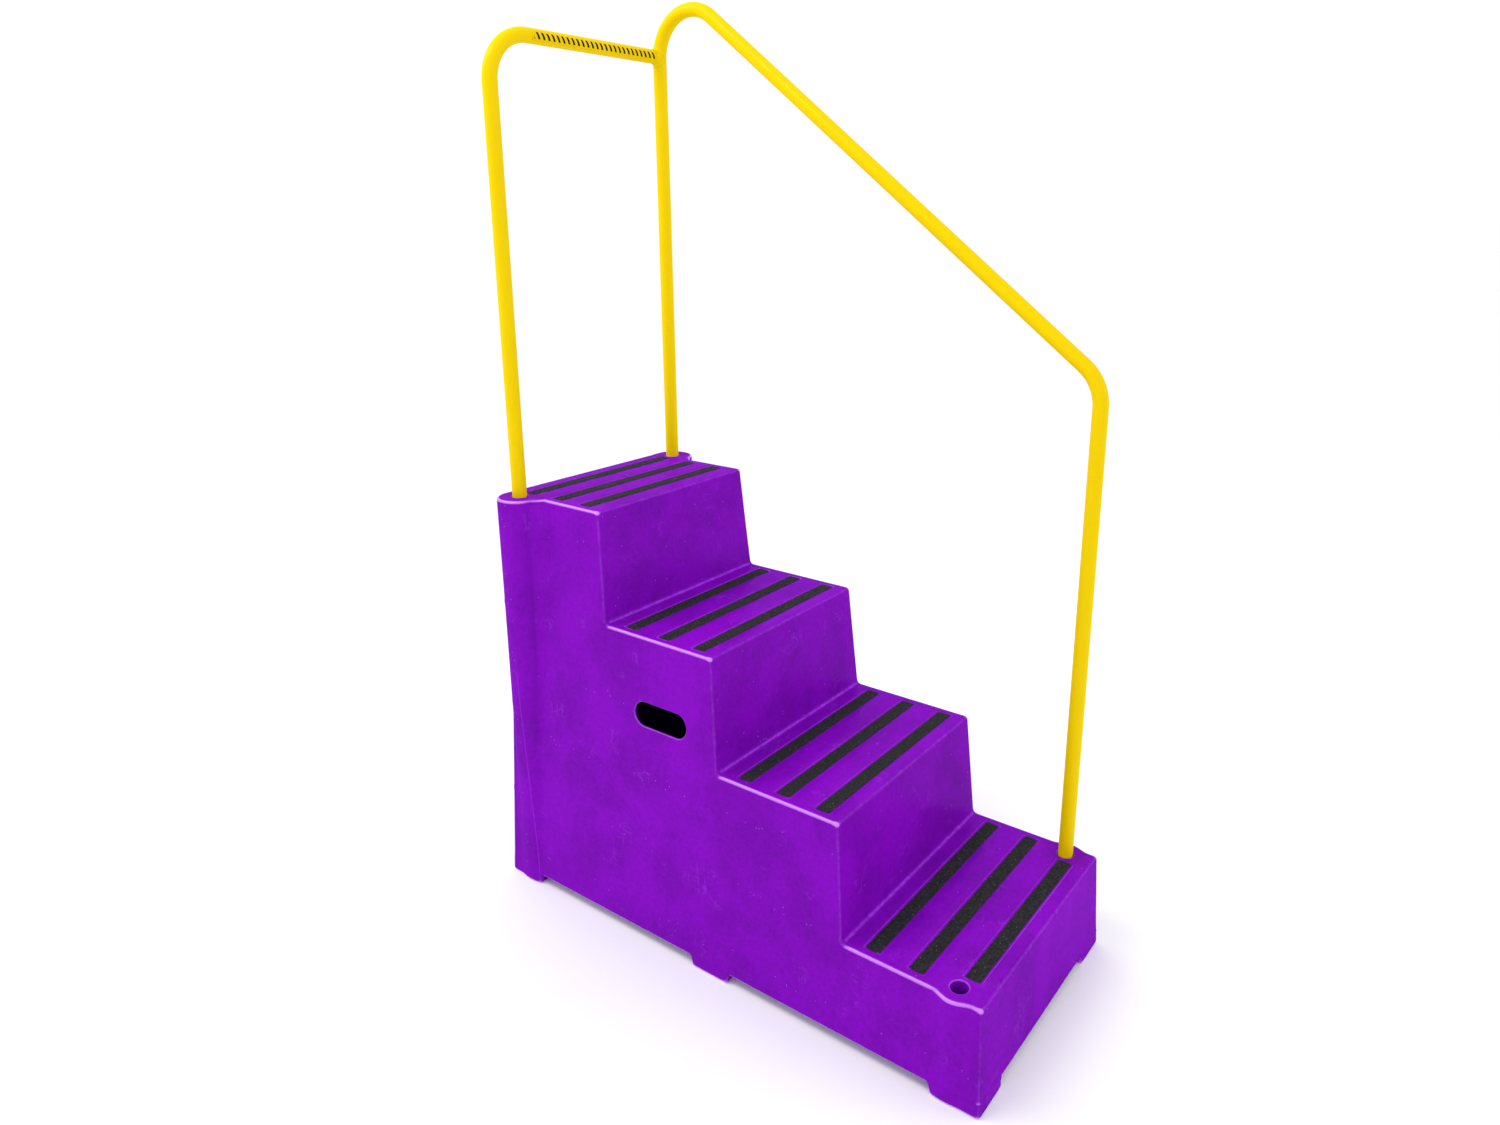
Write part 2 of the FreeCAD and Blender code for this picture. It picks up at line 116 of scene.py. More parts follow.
def ripple(points: np.ndarray, waves: tuple) -> np.ndarray:
    """Sum of plane sine waves, each given by its wave vector in turns per metre and a phase.

    Args:
        points: where the sum is taken.
        waves: three parts of the wave vector, and the phase, of each wave.

    Returns:
        A number from -1 to 1 for each point.
    """
    total = np.zeros(len(points))
    for wx, wy, wz, phase in waves:
        total += np.sin(2.0 * np.pi * (points @ np.array([wx, wy, wz])) + phase)
    return total / len(waves)


# ---------------------------------------------------------------- mesh helpers

def new_mesh_object(name: str, verts: np.ndarray, faces: list, smooth: bool = True) -> bpy.types.Object:
    """Make an object from points and faces.

    Args:
        name: name of the object and its mesh.
        verts: array of points.
        faces: arrays of quads or triangles, all in one list.
        smooth: whether faces are shaded smooth.

    Returns:
        The object, linked to the scene at the origin.
    """
    mesh = bpy.data.meshes.new(name)
    polygons = [face for block in faces for face in np.asarray(block).tolist()]
    mesh.from_pydata(np.asarray(verts).tolist(), [], polygons)
    mesh.polygons.foreach_set("use_smooth", np.full(len(polygons), smooth))
    mesh.validate()
    mesh.update()
    item = bpy.data.objects.new(name, mesh)
    bpy.context.scene.collection.objects.link(item)
    return item


def grid_faces(rows: int, columns: int, wrap_rows: bool, wrap_columns: bool) -> np.ndarray:
    """Quads of a grid of points stored row by row, closed in either direction if asked.

    Each quad joins a point, the next one in its row, and the same two in the next row.

    Args:
        rows: number of rows of points.
        columns: number of points in a row.
        wrap_rows: whether the last row joins the first.
        wrap_columns: whether each row is a loop.

    Returns:
        Four point numbers for each quad.
    """
    row_count = rows if wrap_rows else rows - 1
    column_count = columns if wrap_columns else columns - 1
    r, c = np.meshgrid(np.arange(row_count), np.arange(column_count), indexing="ij")
    r, c = r.ravel(), c.ravel()
    next_r, next_c = (r + 1) % rows, (c + 1) % columns
    corners = (r * columns + c, r * columns + next_c, next_r * columns + next_c, next_r * columns + c)
    return np.stack(corners, axis=1)


def slab_faces(rows: int, columns: int) -> list[np.ndarray]:
    """Faces of a slab: a top grid of points, then a base grid of the same size.

    Args:
        rows: number of rows in each grid.
        columns: number of points in a row.

    Returns:
        Quads of the top, of the base and of the wall round the border.
    """
    count = rows * columns
    upper = grid_faces(rows, columns, False, False)
    number = np.arange(count).reshape(rows, columns)
    ring = np.concatenate([number[0, :-1], number[:-1, -1], number[-1, :0:-1], number[:0:-1, 0]])
    after = np.roll(ring, -1)
    wall = np.stack([ring, after, after + count, ring + count], axis=1)
    return [upper, upper[:, ::-1] + count, wall]


def face_outwards(item: bpy.types.Object) -> None:
    """Turn every face of a closed mesh outwards.

    Args:
        item: the object, changed in place.
    """
    work = bmesh.new()
    work.from_mesh(item.data)
    bmesh.ops.recalc_face_normals(work, faces=work.faces)
    work.to_mesh(item.data)
    work.free()
    item.data.update()


def closed_piece(name: str, verts: np.ndarray, faces: list, smooth: bool = True) -> bpy.types.Object:
    """Make an object from a closed surface, with every face turned outwards.

    Args:
        name: name of the object and its mesh.
        verts: array of points.
        faces: arrays of quads or triangles.
        smooth: whether faces are shaded smooth.

    Returns:
        The object.
    """
    item = new_mesh_object(name, verts, faces, smooth)
    face_outwards(item)
    return item


def set_attribute(item: bpy.types.Object, name: str, values: np.ndarray) -> None:
    """Store one number for each vertex under a name that materials read."""
    layer = item.data.attributes.new(name, "FLOAT", "POINT")
    layer.data.foreach_set("value", np.asarray(values, np.float32))


def dress(item: bpy.types.Object, material: bpy.types.Material, body: Body, slot: Slot, *nodes: str) -> None:
    """Give a piece its material, let it ride on its body and stand for CAD nodes.

    Args:
        item: the piece.
        material: its only material.
        body: rigid body that it rides on.
        slot: material slot of the record; not used.
        nodes: names of the CAD nodes that it replaces.
    """
    item.data.materials.clear()
    item.data.materials.append(material)
    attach(item, body.value)
    if nodes:
        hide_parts(*nodes)
    log.info("%s: %d faces", item.name, len(item.data.polygons))


# ---------------------------------------------------------------- sizes from the frame

@dataclass(frozen=True)
class Strip:
    """One grip strip: its node, the tread it lies on and its box."""

    node: str
    tread: int
    low: Vector
    high: Vector


@dataclass
class BlockSizes:
    """Sizes of the moulded block, read from the frame or named here."""

    floor_width: float = 500 * MM
    nose_setback: float = 9.6 * MM
    riser_lean: float = 17.7 * MM
    rear_lean: float = 21 * MM
    side_draft: float = math.tan(math.radians(3.2))
    wall: float = 6 * MM
    edge_round: float = 6 * MM
    nose_round: float = 6.5 * MM
    riser_fillet: float = 9 * MM
    corner_round: float = 8 * MM
    pillar_fillet: float = 9 * MM
    widest: float = 255.5 * MM
    foot_height: float = 19 * MM
    foot_length: float = 95 * MM
    foot_width: float = 85 * MM
    foot_slope: float = 9 * MM
    rear_pillar: float = 43 * MM
    front_pillar: float = 37 * MM
    socket_clearance: float = 1.35 * MM
    socket_depth: float = 150 * MM
    socket_lip: float = 3 * MM
    slot_length: float = 125 * MM
    slot_height: float = 47 * MM
    slot_setback: float = 117 * MM
    slot_drop: float = 147.5 * MM
    slot_round: float = 2.6 * MM
    recess_depth: float = 1 * MM
    recess_gap: float = 3 * MM
    recess_soft: float = 1.6 * MM
    step_run: float = 272 * MM
    treads: int = 4
    length: float = field(init=False)
    tread_z: list[float] = field(init=False)
    nose_y: list[float] = field(init=False)
    strips: list[Strip] = field(init=False)
    socket_x: float = field(init=False)
    socket_y: float = field(init=False)
    tube_radius: float = field(init=False)

    def __post_init__(self) -> None:
        """Read what the frame knows."""
        low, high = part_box("step_body")
        self.length = high.y - low.y
        places = ("front", "middle", "rear")
        self.strips = [
            Strip(node, tread, *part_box(node))
            for tread in range(1, self.treads + 1)
            for node in (f"tread_{tread}_{place}_strip" for place in places)
        ]
        self.tread_z = [
            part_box(f"tread_{tread}_middle_strip")[0].z + self.recess_depth
            for tread in range(1, self.treads + 1)
        ]
        first = -self.length / 2 + self.nose_setback
        self.nose_y = [first + index * self.step_run for index in range(self.treads)]
        plug_low, plug_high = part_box("rear_right_leg_plug")
        self.socket_x = (plug_low.x + plug_high.x) / 2
        self.socket_y = (plug_low.y + plug_high.y) / 2
        self.tube_radius = (plug_high.x - plug_low.x) / 2

    @property
    def bore(self) -> float:
        """Radius of a socket."""
        return self.tube_radius + self.socket_clearance

    @property
    def top(self) -> float:
        """Height of the top tread."""
        return self.tread_z[-1]

    @property
    def slot_centre(self) -> tuple[float, float]:
        """Middle of a hand slot along the flight and up."""
        return self.nose_y[2] + self.slot_setback, self.tread_z[2] - self.slot_drop


# ---------------------------------------------------------------- the moulded block

@dataclass
class Moulding:
    """The hollow step block: a lattice surface that slides onto a rounded skin."""

    sizes: BlockSizes
    wave_height: float = 1.0 * MM
    ridge_height: float = 0.5 * MM
    ridge_level: float = 28.5 * MM
    ridge_width: float = 1.3 * MM
    flat_band: float = 12 * MM
    probe: float = 0.15 * MM
    widest_blend: float = 4 * MM
    wave_rise: float = 30 * MM
    recess_corner: float = 2 * MM
    recess_level: float = 8 * MM
    least_steepness: float = 0.05
    longest_move: float = 8 * MM
    # Painted highlights in the edge attribute: reach of the convexity probe, then their strength on recess
    # lips, on socket and slot rims, at the least on any edge, and on noses and riser feet.
    highlight_reach: float = 5 * MM
    lip_highlight: float = 0.125
    rim_highlight: float = 0.1
    least_highlight: float = 0.24
    nose_highlight: float = 0.42
    warp_reach: float = 45 * MM
    bulge_from: float = 205 * MM
    bulge_reach: float = 33 * MM
    bulge_search: tuple = mm(20, 300)
    search_rounds: int = 24
    # Lattice lines: steps beside an edge, places up the block, and how far each set reaches.
    outer_steps: tuple = mm(0, 2, 4, 6, 8.5, 12, 17)
    inner_steps: tuple = mm(0, 4, 10)
    end_steps: tuple = mm(24, 32, 45)
    side_steps: tuple = mm(0, 1.6, 3.2, 5, 7, 9.5)
    foot_levels: tuple = mm(0, 2, 4.5, 8, 12, 15.5, 19, 21, 24)
    ridge_steps: tuple = mm(-2.2, -1.1, 0, 1.1, 2.2, 6)
    inner_level: float = 35 * MM
    foot_lines: float = 10 * MM
    nose_lines: float = 13 * MM
    socket_lines: float = 28 * MM
    slot_lines: tuple = mm(10, 9)
    slot_opening: tuple = mm(8, 7)
    slot_shared: float = 16 * MM
    socket_opening: float = 4.5 * MM
    inner_opening: float = 0.9
    bulge_count: int = 12
    socket_count: int = 8
    slot_counts: tuple = (17, 9)
    closest_lines: float = 0.55 * MM
    split_slack: float = 0.05
    outer_spacing: tuple = mm(18, 17, 17)
    inner_spacing: tuple = mm(45, 40, 40)
    bore_levels: tuple = mm(12, 60)
    floor_round: float = 4 * MM
    # Slow waves of the walls: turns per metre on each axis, and a phase.
    side_waves: tuple = (
        (0.3, 2.1, 1.7, 0.4), (0.2, -1.3, 2.9, 1.9), (1.9, 0.6, 3.7, 0.8),
        (0.5, 3.9, -1.1, 2.6), (2.3, -0.9, 0.7, 4.0), (0.8, 5.1, 4.3, 5.2),
    )

    # ------------------------------------------------------------ the skin as a distance

    def side(self, p: np.ndarray) -> np.ndarray:
        """Distance outside the two leaning side walls.

        Args:
            p: points.

        Returns:
            Signed distance of each point.
        """
        s = self.sizes
        wall = s.floor_width / 2 - p[:, 2] * s.side_draft
        return (np.abs(p[:, 0]) - wall) / math.hypot(1, s.side_draft)

    def pillar(self, p: np.ndarray, y: float, radius: float) -> np.ndarray:
        """Distance outside an upright pillar, on the left and on the right."""
        return np.hypot(np.abs(p[:, 0]) - self.sizes.socket_x, p[:, 1] - y) - radius

    def side_with_pillars(self, p: np.ndarray, wall: np.ndarray) -> np.ndarray:
        """Side walls and corner pillars in plan, joined by a soft valley.

        Args:
            p: points.
            wall: distance outside the side walls at each point.

        Returns:
            Distance outside the joined outline.
        """
        s = self.sizes
        joined = smooth_min(wall, self.pillar(p, s.socket_y, s.rear_pillar), s.pillar_fillet)
        joined = smooth_min(joined, self.pillar(p, -s.socket_y, s.front_pillar), s.pillar_fillet)
        return -smooth_min(-joined, s.widest - np.abs(p[:, 0]), self.widest_blend)

    def flight(self, p: np.ndarray) -> np.ndarray:
        """Distance outside the flight seen from the side: one leaning front and one top a tread.

        Args:
            p: points.

        Returns:
            Signed distance, with rounded noses and filleted riser feet.
        """
        s = self.sizes
        joined = None
        for index, (nose, top) in enumerate(zip(s.nose_y, s.tread_z)):
            rise = top - (s.tread_z[index - 1] if index else 0.0)
            lean = (s.riser_lean if index else s.nose_setback) / rise
            front = (nose - p[:, 1] - lean * (top - p[:, 2])) / math.hypot(1, lean)
            block = round_max([front, p[:, 2] - top], s.nose_round)
            joined = block if joined is None else smooth_min(joined, block, s.riser_fillet)
        return joined

    def pads(self, x: np.ndarray, y: np.ndarray) -> np.ndarray:
        """Distance in plan outside the six feet.

        Args:
            x: places across the block.
            y: places along it.

        Returns:
            Signed distance at each place.
        """
        s = self.sizes
        end = s.length / 2 - s.foot_length / 2
        rows = np.minimum.reduce([np.abs(y - row) for row in (-end, 0.0, end)]) - s.foot_length / 2
        at_ends = np.abs(y) > s.length / 4
        rows = np.where(at_ends, s.length / 2 - s.foot_length - np.abs(y), rows)
        inner = s.floor_width / 2 - s.foot_width - np.abs(x)
        return round_max([rows, inner], s.corner_round)

    def underside(self, p: np.ndarray) -> np.ndarray:
        """Distance below the base, which steps down to the floor at each foot.

        Args:
            p: points.

        Returns:
            Signed distance, taken across the slope of a foot's side.
        """
        s = self.sizes
        t = np.clip(self.pads(p[:, 0], p[:, 1]) / s.foot_slope + 1.0, 0.0, 1.0)
        base = s.foot_height * smooth_step(t)
        slope = s.foot_height * 6.0 * t * (1.0 - t) / s.foot_slope
        return (base - p[:, 2]) / np.hypot(1.0, slope)

    def near_tread(self, p: np.ndarray) -> np.ndarray:
        """1 on a tread's level, falling to 0 a little above and below it."""
        gaps = np.min([np.abs(p[:, 2] - top) for top in self.sizes.tread_z], axis=0)
        return smooth_step(1.0 - gaps / self.flat_band)

    def recess(self, p: np.ndarray) -> np.ndarray:
        """Share of the shallow recess under each grip strip: 1 on its floor, easing to 0 round it.

        Args:
            p: points.

        Returns:
            A share for each point.
        """
        s = self.sizes
        depth = np.zeros(len(p))
        for strip in s.strips:
            level = smooth_step(1.5 - np.abs(p[:, 2] - s.tread_z[strip.tread - 1]) / self.recess_level)
            x = np.abs(p[:, 0]) - strip.high.x
            y = np.abs(p[:, 1] - (strip.low.y + strip.high.y) / 2) - (strip.high.y - strip.low.y) / 2
            outside = round_max([x, y], self.recess_corner) - s.recess_gap
            depth = np.maximum(depth, level * smooth_step(0.5 - outside / s.recess_soft))
        return depth

    def distance(self, p: np.ndarray, inset: float) -> np.ndarray:
        """Signed distance of the skin; an inset gives the inner wall, without surface detail.

        Args:
            p: points.
            inset: 0 for the outer skin, or how far inside it the wall lies.

        Returns:
            Signed distance, negative inside the plastic's outline.
        """
        s = self.sizes
        rear = p[:, 1] - s.length / 2 + s.rear_lean * p[:, 2] / s.top
        rear /= math.hypot(1, s.rear_lean / s.top)
        wall = round_max([self.side(p), rear], s.corner_round)
        plan = self.side_with_pillars(p, wall)
        solid = round_max([self.flight(p), plan, self.underside(p)], s.edge_round)
        if inset:
            return solid + inset
        waves = self.wave_height * (0.5 + 0.5 * ripple(p, self.side_waves)) * (1.0 - self.near_tread(p))
        waves *= smooth_step((p[:, 2] - s.foot_height) / self.wave_rise)
        ridge = self.ridge_height * np.exp(-(((p[:, 2] - self.ridge_level) / self.ridge_width) ** 2))
        return solid + waves + s.recess_depth * self.recess(p) - ridge

    def slope(self, p: np.ndarray, inset: float) -> np.ndarray:
        """Gradient of the distance, from one small step each way along each axis.

        Args:
            p: points.
            inset: which wall, as for the distance.

        Returns:
            One vector for each point.
        """
        steps = np.eye(3) * self.probe
        ahead = [self.distance(p + step, inset) for step in steps]
        behind = [self.distance(p - step, inset) for step in steps]
        return (np.stack(ahead, axis=1) - np.stack(behind, axis=1)) / (2 * self.probe)

    def settle(self, p: np.ndarray, inset: float, rounds: int = 7) -> np.ndarray:
        """Slide points along the gradient until they lie on the skin.

        Args:
            p: points near the skin.
            inset: which wall, as for the distance.
            rounds: how many times they move.

        Returns:
            The moved points.
        """
        for _ in range(rounds):
            slope = self.slope(p, inset)
            steep = np.maximum((slope ** 2).sum(axis=1), self.least_steepness)
            move = slope * (self.distance(p, inset) / steep)[:, None]
            length = np.maximum(np.linalg.norm(move, axis=1), TINY)
            p = p - move * np.minimum(1.0, self.longest_move / length)[:, None]
        return p

    # ------------------------------------------------------------ the lattice

    def fill(self, stops: list[float], spacing: float) -> np.ndarray:
        """Sorted lattice lines: the given stops, with the gaps between them split evenly.

        Args:
            stops: places that need a line.
            spacing: widest gap that is left unsplit.

        Returns:
            Places of all the lines.
        """
        ordered = np.unique(np.round(stops, 5))
        kept = ordered[np.concatenate([[True], np.diff(ordered) > self.closest_lines])]
        gaps = np.diff(kept)
        counts = np.maximum(np.ceil(gaps / spacing - self.split_slack).astype(int), 1)
        pieces = [np.linspace(a, b, n, endpoint=False) for a, b, n in zip(kept, kept[1:], counts)]
        return np.concatenate(pieces + [kept[-1:]])

    @staticmethod
    def around(centre: float, steps: list[float], reach: float) -> list[float]:
        """Lines beside a centre, as far as they are within reach of it."""
        return [centre + step for step in steps if abs(step) < reach]

    def lines_across(self, both: list[float]) -> list[float]:
        """Lines across the block: the middle, the feet, the pillars and the sides.

        Args:
            both: steps to either side of an edge.

        Returns:
            Places of the lines, the same on the left and on the right.
        """
        s = self.sizes
        half = s.floor_width / 2
        right = [0.0] + self.around(half - s.foot_width, both, self.foot_lines)
        right += list(np.linspace(self.bulge_from, self.bulge_from + self.bulge_reach, self.bulge_count))
        right += [half - step for step in self.side_steps]
        return right + [-x for x in right]

    def lines_along(self, fine: bool, near: tuple, both: list[float]) -> list[float]:
        """Lines along the flight: the ends, noses, feet, recesses, hand slots and sockets.

        Args:
            fine: whether the lines are for the outer wall, which has recesses.
            near: steps in from an end.
            both: steps to either side of an edge.

        Returns:
            Places of the lines.
        """
        s = self.sizes
        end, signs = s.length / 2, (-1, 1)
        along = [sign * (end - step) for step in (*near, *self.end_steps) for sign in signs]
        for nose in s.nose_y[1:]:
            along += self.around(nose, both, self.nose_lines)
            along += [nose + sign * self.warp_reach for sign in signs]
        for sign in signs:
            along += self.around(sign * (end - s.foot_length), both, self.foot_lines)
            along += self.around(sign * s.foot_length / 2, both, self.foot_lines)
            beside = np.linspace(-self.socket_lines, self.socket_lines, self.socket_count)
            along += list(beside + sign * s.socket_y)
        for strip in s.strips if fine else []:
            for y, sign in ((strip.low.y, -1), (strip.high.y, 1)):
                along += [y + sign * (s.recess_gap + step * s.recess_soft / 2) for step in (-1, 0, 1)]
        reach = s.slot_length / 2 + self.slot_lines[0]
        middle = s.slot_centre[0]
        return along + list(np.linspace(middle - reach, middle + reach, self.slot_counts[0]))

    def lines_up(self, fine: bool, both: list[float]) -> list[float]:
        """Lines up the block: the feet, the ridge round the base, the treads and the hand slots.

        Args:
            fine: whether the lines are for the outer wall, which has the ridge.
            both: steps to either side of an edge.

        Returns:
            Heights of the lines.
        """
        s = self.sizes
        up = list(self.foot_levels)
        up += [self.ridge_level + step for step in self.ridge_steps] if fine else [self.inner_level]
        for top in s.tread_z:
            up += [z for z in self.around(top, both, self.nose_lines) if z <= s.top]
        reach = s.slot_height / 2 + self.slot_lines[1]
        middle = s.slot_centre[1]
        return up + list(np.linspace(middle - reach, middle + reach, self.slot_counts[1]))

    def lines(self, fine: bool) -> list[np.ndarray]:
        """Lattice lines across, along and up; the inner wall gets fewer.

        Args:
            fine: whether the lines are for the outer wall.

        Returns:
            Sorted places of the lines on each axis.
        """
        s = self.sizes
        near = self.outer_steps if fine else self.inner_steps
        both = sorted({sign * step for step in near for sign in (-1, 1)})
        stops = [self.lines_across(both), self.lines_along(fine, near, both), self.lines_up(fine, both)]
        if not fine:
            outer = self.lines(fine=True)
            halves = (s.slot_length / 2, s.slot_height / 2)
            for axis, (centre, half) in enumerate(zip(s.slot_centre, halves), start=1):
                stops[axis] = self.shared(stops[axis], outer[axis], centre, half + self.slot_shared)
        spacings = self.outer_spacing if fine else self.inner_spacing
        return [self.fill(places, spacing) for places, spacing in zip(stops, spacings)]

    @staticmethod
    def shared(own: list[float], outer: np.ndarray, centre: float, reach: float) -> list[float]:
        """Lines of the inner wall, with the outer wall's lines in their place beside the hand slots."""
        away = [line for line in own if abs(line - centre) > reach]
        return away + [float(line) for line in outer if abs(line - centre) <= reach]

    def occupied(self, x: np.ndarray, y: np.ndarray, z: np.ndarray) -> np.ndarray:
        """Which cells of the square-cornered lattice block are solid, judged at their middles.

        Args:
            x: lines across.
            y: lines along.
            z: lines up.

        Returns:
            True for each solid cell.
        """
        s = self.sizes
        mid = [(line[1:] + line[:-1]) / 2 for line in (x, y, z)]
        gx, gy, gz = np.meshgrid(*mid, indexing="ij")
        height = np.zeros_like(gy) + s.tread_z[0]
        for nose, top in zip(s.nose_y[1:], s.tread_z[1:]):
            height = np.where(gy > nose, top, height)
        end, half = s.length / 2, s.floor_width / 2
        in_row = (np.abs(gy) > end - s.foot_length) | (np.abs(gy) < s.foot_length / 2)
        on_foot = in_row & (np.abs(gx) > half - s.foot_width)
        return (gz < height) & (on_foot | (gz > s.foot_height))

    @staticmethod
    def boundary(cells: np.ndarray) -> tuple[np.ndarray, np.ndarray]:
        """Quads between solid and empty cells, facing outwards.

        Args:
            cells: solid cells of the lattice.

        Returns:
            Corner positions of each quad as lattice steps, and the signed axis that it faces.
        """
        padded = np.pad(cells, 1).astype(np.int8)
        corners, facing = [], []
        for axis in range(3):
            change = np.diff(padded, axis=axis)
            where = np.argwhere(change != 0)
            sign = -change[tuple(where.T)].astype(int)
            base = where - 1
            base[:, axis] += 1
            u, v = np.eye(3, dtype=int)[(axis + 1) % 3], np.eye(3, dtype=int)[(axis + 2) % 3]
            quad = np.stack([base, base + u, base + u + v, base + v], axis=1)
            quad[sign < 0] = quad[sign < 0][:, ::-1]
            corners.append(quad)
            facing.append((axis + 1) * sign)
        return np.concatenate(corners), np.concatenate(facing)

    def warp(self, p: np.ndarray, inset: float) -> np.ndarray:
        """Lean the square lattice's points to the block's sloping walls and out to its pillars.

        Args:
            p: points of the lattice.
            inset: 0 for the outer skin, or the wall's thickness.

        Returns:
            Points close to the skin.
        """
        s = self.sizes
        x, y, z = p.T
        end, reach = s.length / 2, self.warp_reach
        front_share = np.clip((reach - end - y) / reach, 0, 1)
        shift = s.nose_setback * np.clip(z / s.tread_z[0], 0, 1) * front_share
        shift = np.where(z > s.tread_z[0] + MM, 0.0, shift)
        for below, nose, top in zip(s.tread_z, s.nose_y[1:], s.tread_z[1:]):
            drop = np.clip((top - z) / (top - below), 0, 1)
            shift = shift - s.riser_lean * drop * np.clip(1 - np.abs(y - nose) / reach, 0, 1)
        shift = shift - s.rear_lean * z / s.top * np.clip((y - end + reach) / reach, 0, 1)
        y = y + shift
        straight = s.floor_width / 2 - z * s.side_draft
        inward, outmost = self.bulge_search
        low, high = straight - inward, np.full_like(straight, outmost)
        for _ in range(self.search_rounds):
            middle = (low + high) / 2
            trial = np.stack([middle, y, z], axis=1)
            outside = self.side_with_pillars(trial, self.side(trial)) > 0
            low, high = np.where(outside, low, middle), np.where(outside, middle, high)
        bulge = (low + high) / 2 - straight
        share = smooth_step((np.abs(x) - self.bulge_from) / self.bulge_reach)
        x = x * straight / (s.floor_width / 2) + np.sign(x) * bulge * share
        warped = np.stack([x, y, z], axis=1)
        return warped - inset * 0.5 * self.slope(warped, 0.0) if inset else warped

    # ------------------------------------------------------------ holes

    @staticmethod
    def loop_around(picked: np.ndarray, verts: np.ndarray, centre: tuple, axes: tuple) -> np.ndarray:
        """Border of some quads as vertex numbers, sorted by their angle about a centre.

        Args:
            picked: the quads.
            verts: all points.
            centre: the centre on the two axes.
            axes: the two axes that the angle is taken in.

        Returns:
            Vertex numbers in order.
        """
        edges = np.concatenate([picked[:, [a, (a + 1) % 4]] for a in range(4)])
        keys = np.sort(edges, axis=1)
        _, index, count = np.unique(keys, axis=0, return_index=True, return_counts=True)
        ring = np.unique(edges[index[count == 1]])
        angle = np.arctan2(verts[ring, axes[1]] - centre[1], verts[ring, axes[0]] - centre[0])
        return ring[np.argsort(angle)]

    def skin(self, inset: float) -> tuple[np.ndarray, list, list[np.ndarray]]:
        """One wall of the shell with its sockets, and open at the two hand slots.

        Args:
            inset: 0 for the outer skin, or the wall's thickness for the inner one.

        Returns:
            Points, blocks of faces, and the loops round the left and the right hand slot.
        """
        s = self.sizes
        lines = self.lines(fine=not inset)
        corners, facing = self.boundary(self.occupied(*lines))
        shape = [len(line) for line in lines]
        flat = np.ravel_multi_index(tuple(corners.reshape(-1, 3).T), shape)
        used, numbers = np.unique(flat, return_inverse=True)
        steps = np.stack(np.unravel_index(used, shape), axis=1)
        lattice = np.stack([line[steps[:, axis]] for axis, line in enumerate(lines)], axis=1)
        quads = numbers.reshape(-1, 4)
        verts = self.settle(self.warp(lattice, inset), inset)
        centres = lattice[quads].mean(axis=1)

        removed = np.zeros(len(quads), bool)
        blocks: list[np.ndarray] = []
        reach = s.bore + s.socket_lip + self.socket_opening + inset * self.inner_opening
        for sx in (-1, 1):
            for sy, top in ((-1, s.tread_z[0]), (1, s.top)):
                centre = (sx * s.socket_x, sy * s.socket_y)
                chosen = (facing == 3) & (np.abs(centres[:, 2] - top) < MM)
                chosen &= (np.abs(centres[:, :2] - centre) < reach).all(axis=1)
                removed |= chosen
                loop = self.loop_around(quads[chosen], verts, centre, (0, 1))
                verts, faces = self.socket(verts, loop, centre, top, inset)
                blocks += faces
        slots = []
        reaches = np.array([s.slot_length, s.slot_height]) / 2 + self.slot_opening
        for sx in (-1, 1):
            chosen = (facing == sx) & (np.abs(centres[:, 1:] - s.slot_centre) < reaches).all(axis=1)
            removed |= chosen
            loop = self.loop_around(quads[chosen], verts, s.slot_centre, (1, 2))
            verts, faces, rim = self.slot_margin(verts, loop, inset)
            blocks.append(faces)
            slots.append(rim)
        return verts, [quads[~removed]] + blocks, slots

    @staticmethod
    def quarter(radius: float, count: int) -> list[tuple[float, float]]:
        """Rounded edge as even turns of a quarter circle: how far out, and how far down, each is.

        Args:
            radius: radius of the edge.
            count: number of turns.

        Returns:
            How far out and how far down, for each turn.
        """
        turns = np.radians(np.linspace(0.0, 90.0, count + 1)[1:])
        return [(radius * (1 - math.sin(turn)), radius * (1 - math.cos(turn))) for turn in turns]

    @staticmethod
    def rows_between(loop: np.ndarray, count: int, start: int) -> np.ndarray:
        """Quads from a loop of points through rows of new points of the same length.

        Args:
            loop: vertex numbers of the first row.
            count: number of new rows.
            start: number of the first new point.

        Returns:
            Four point numbers for each quad.
        """
        rows = np.concatenate([loop[None, :], start + np.arange(count * len(loop)).reshape(count, -1)])
        a, b = rows[:-1], rows[1:]
        quads = np.stack([a, np.roll(a, -1, axis=1), np.roll(b, -1, axis=1), b], axis=-1)
        return quads.reshape(-1, 4)

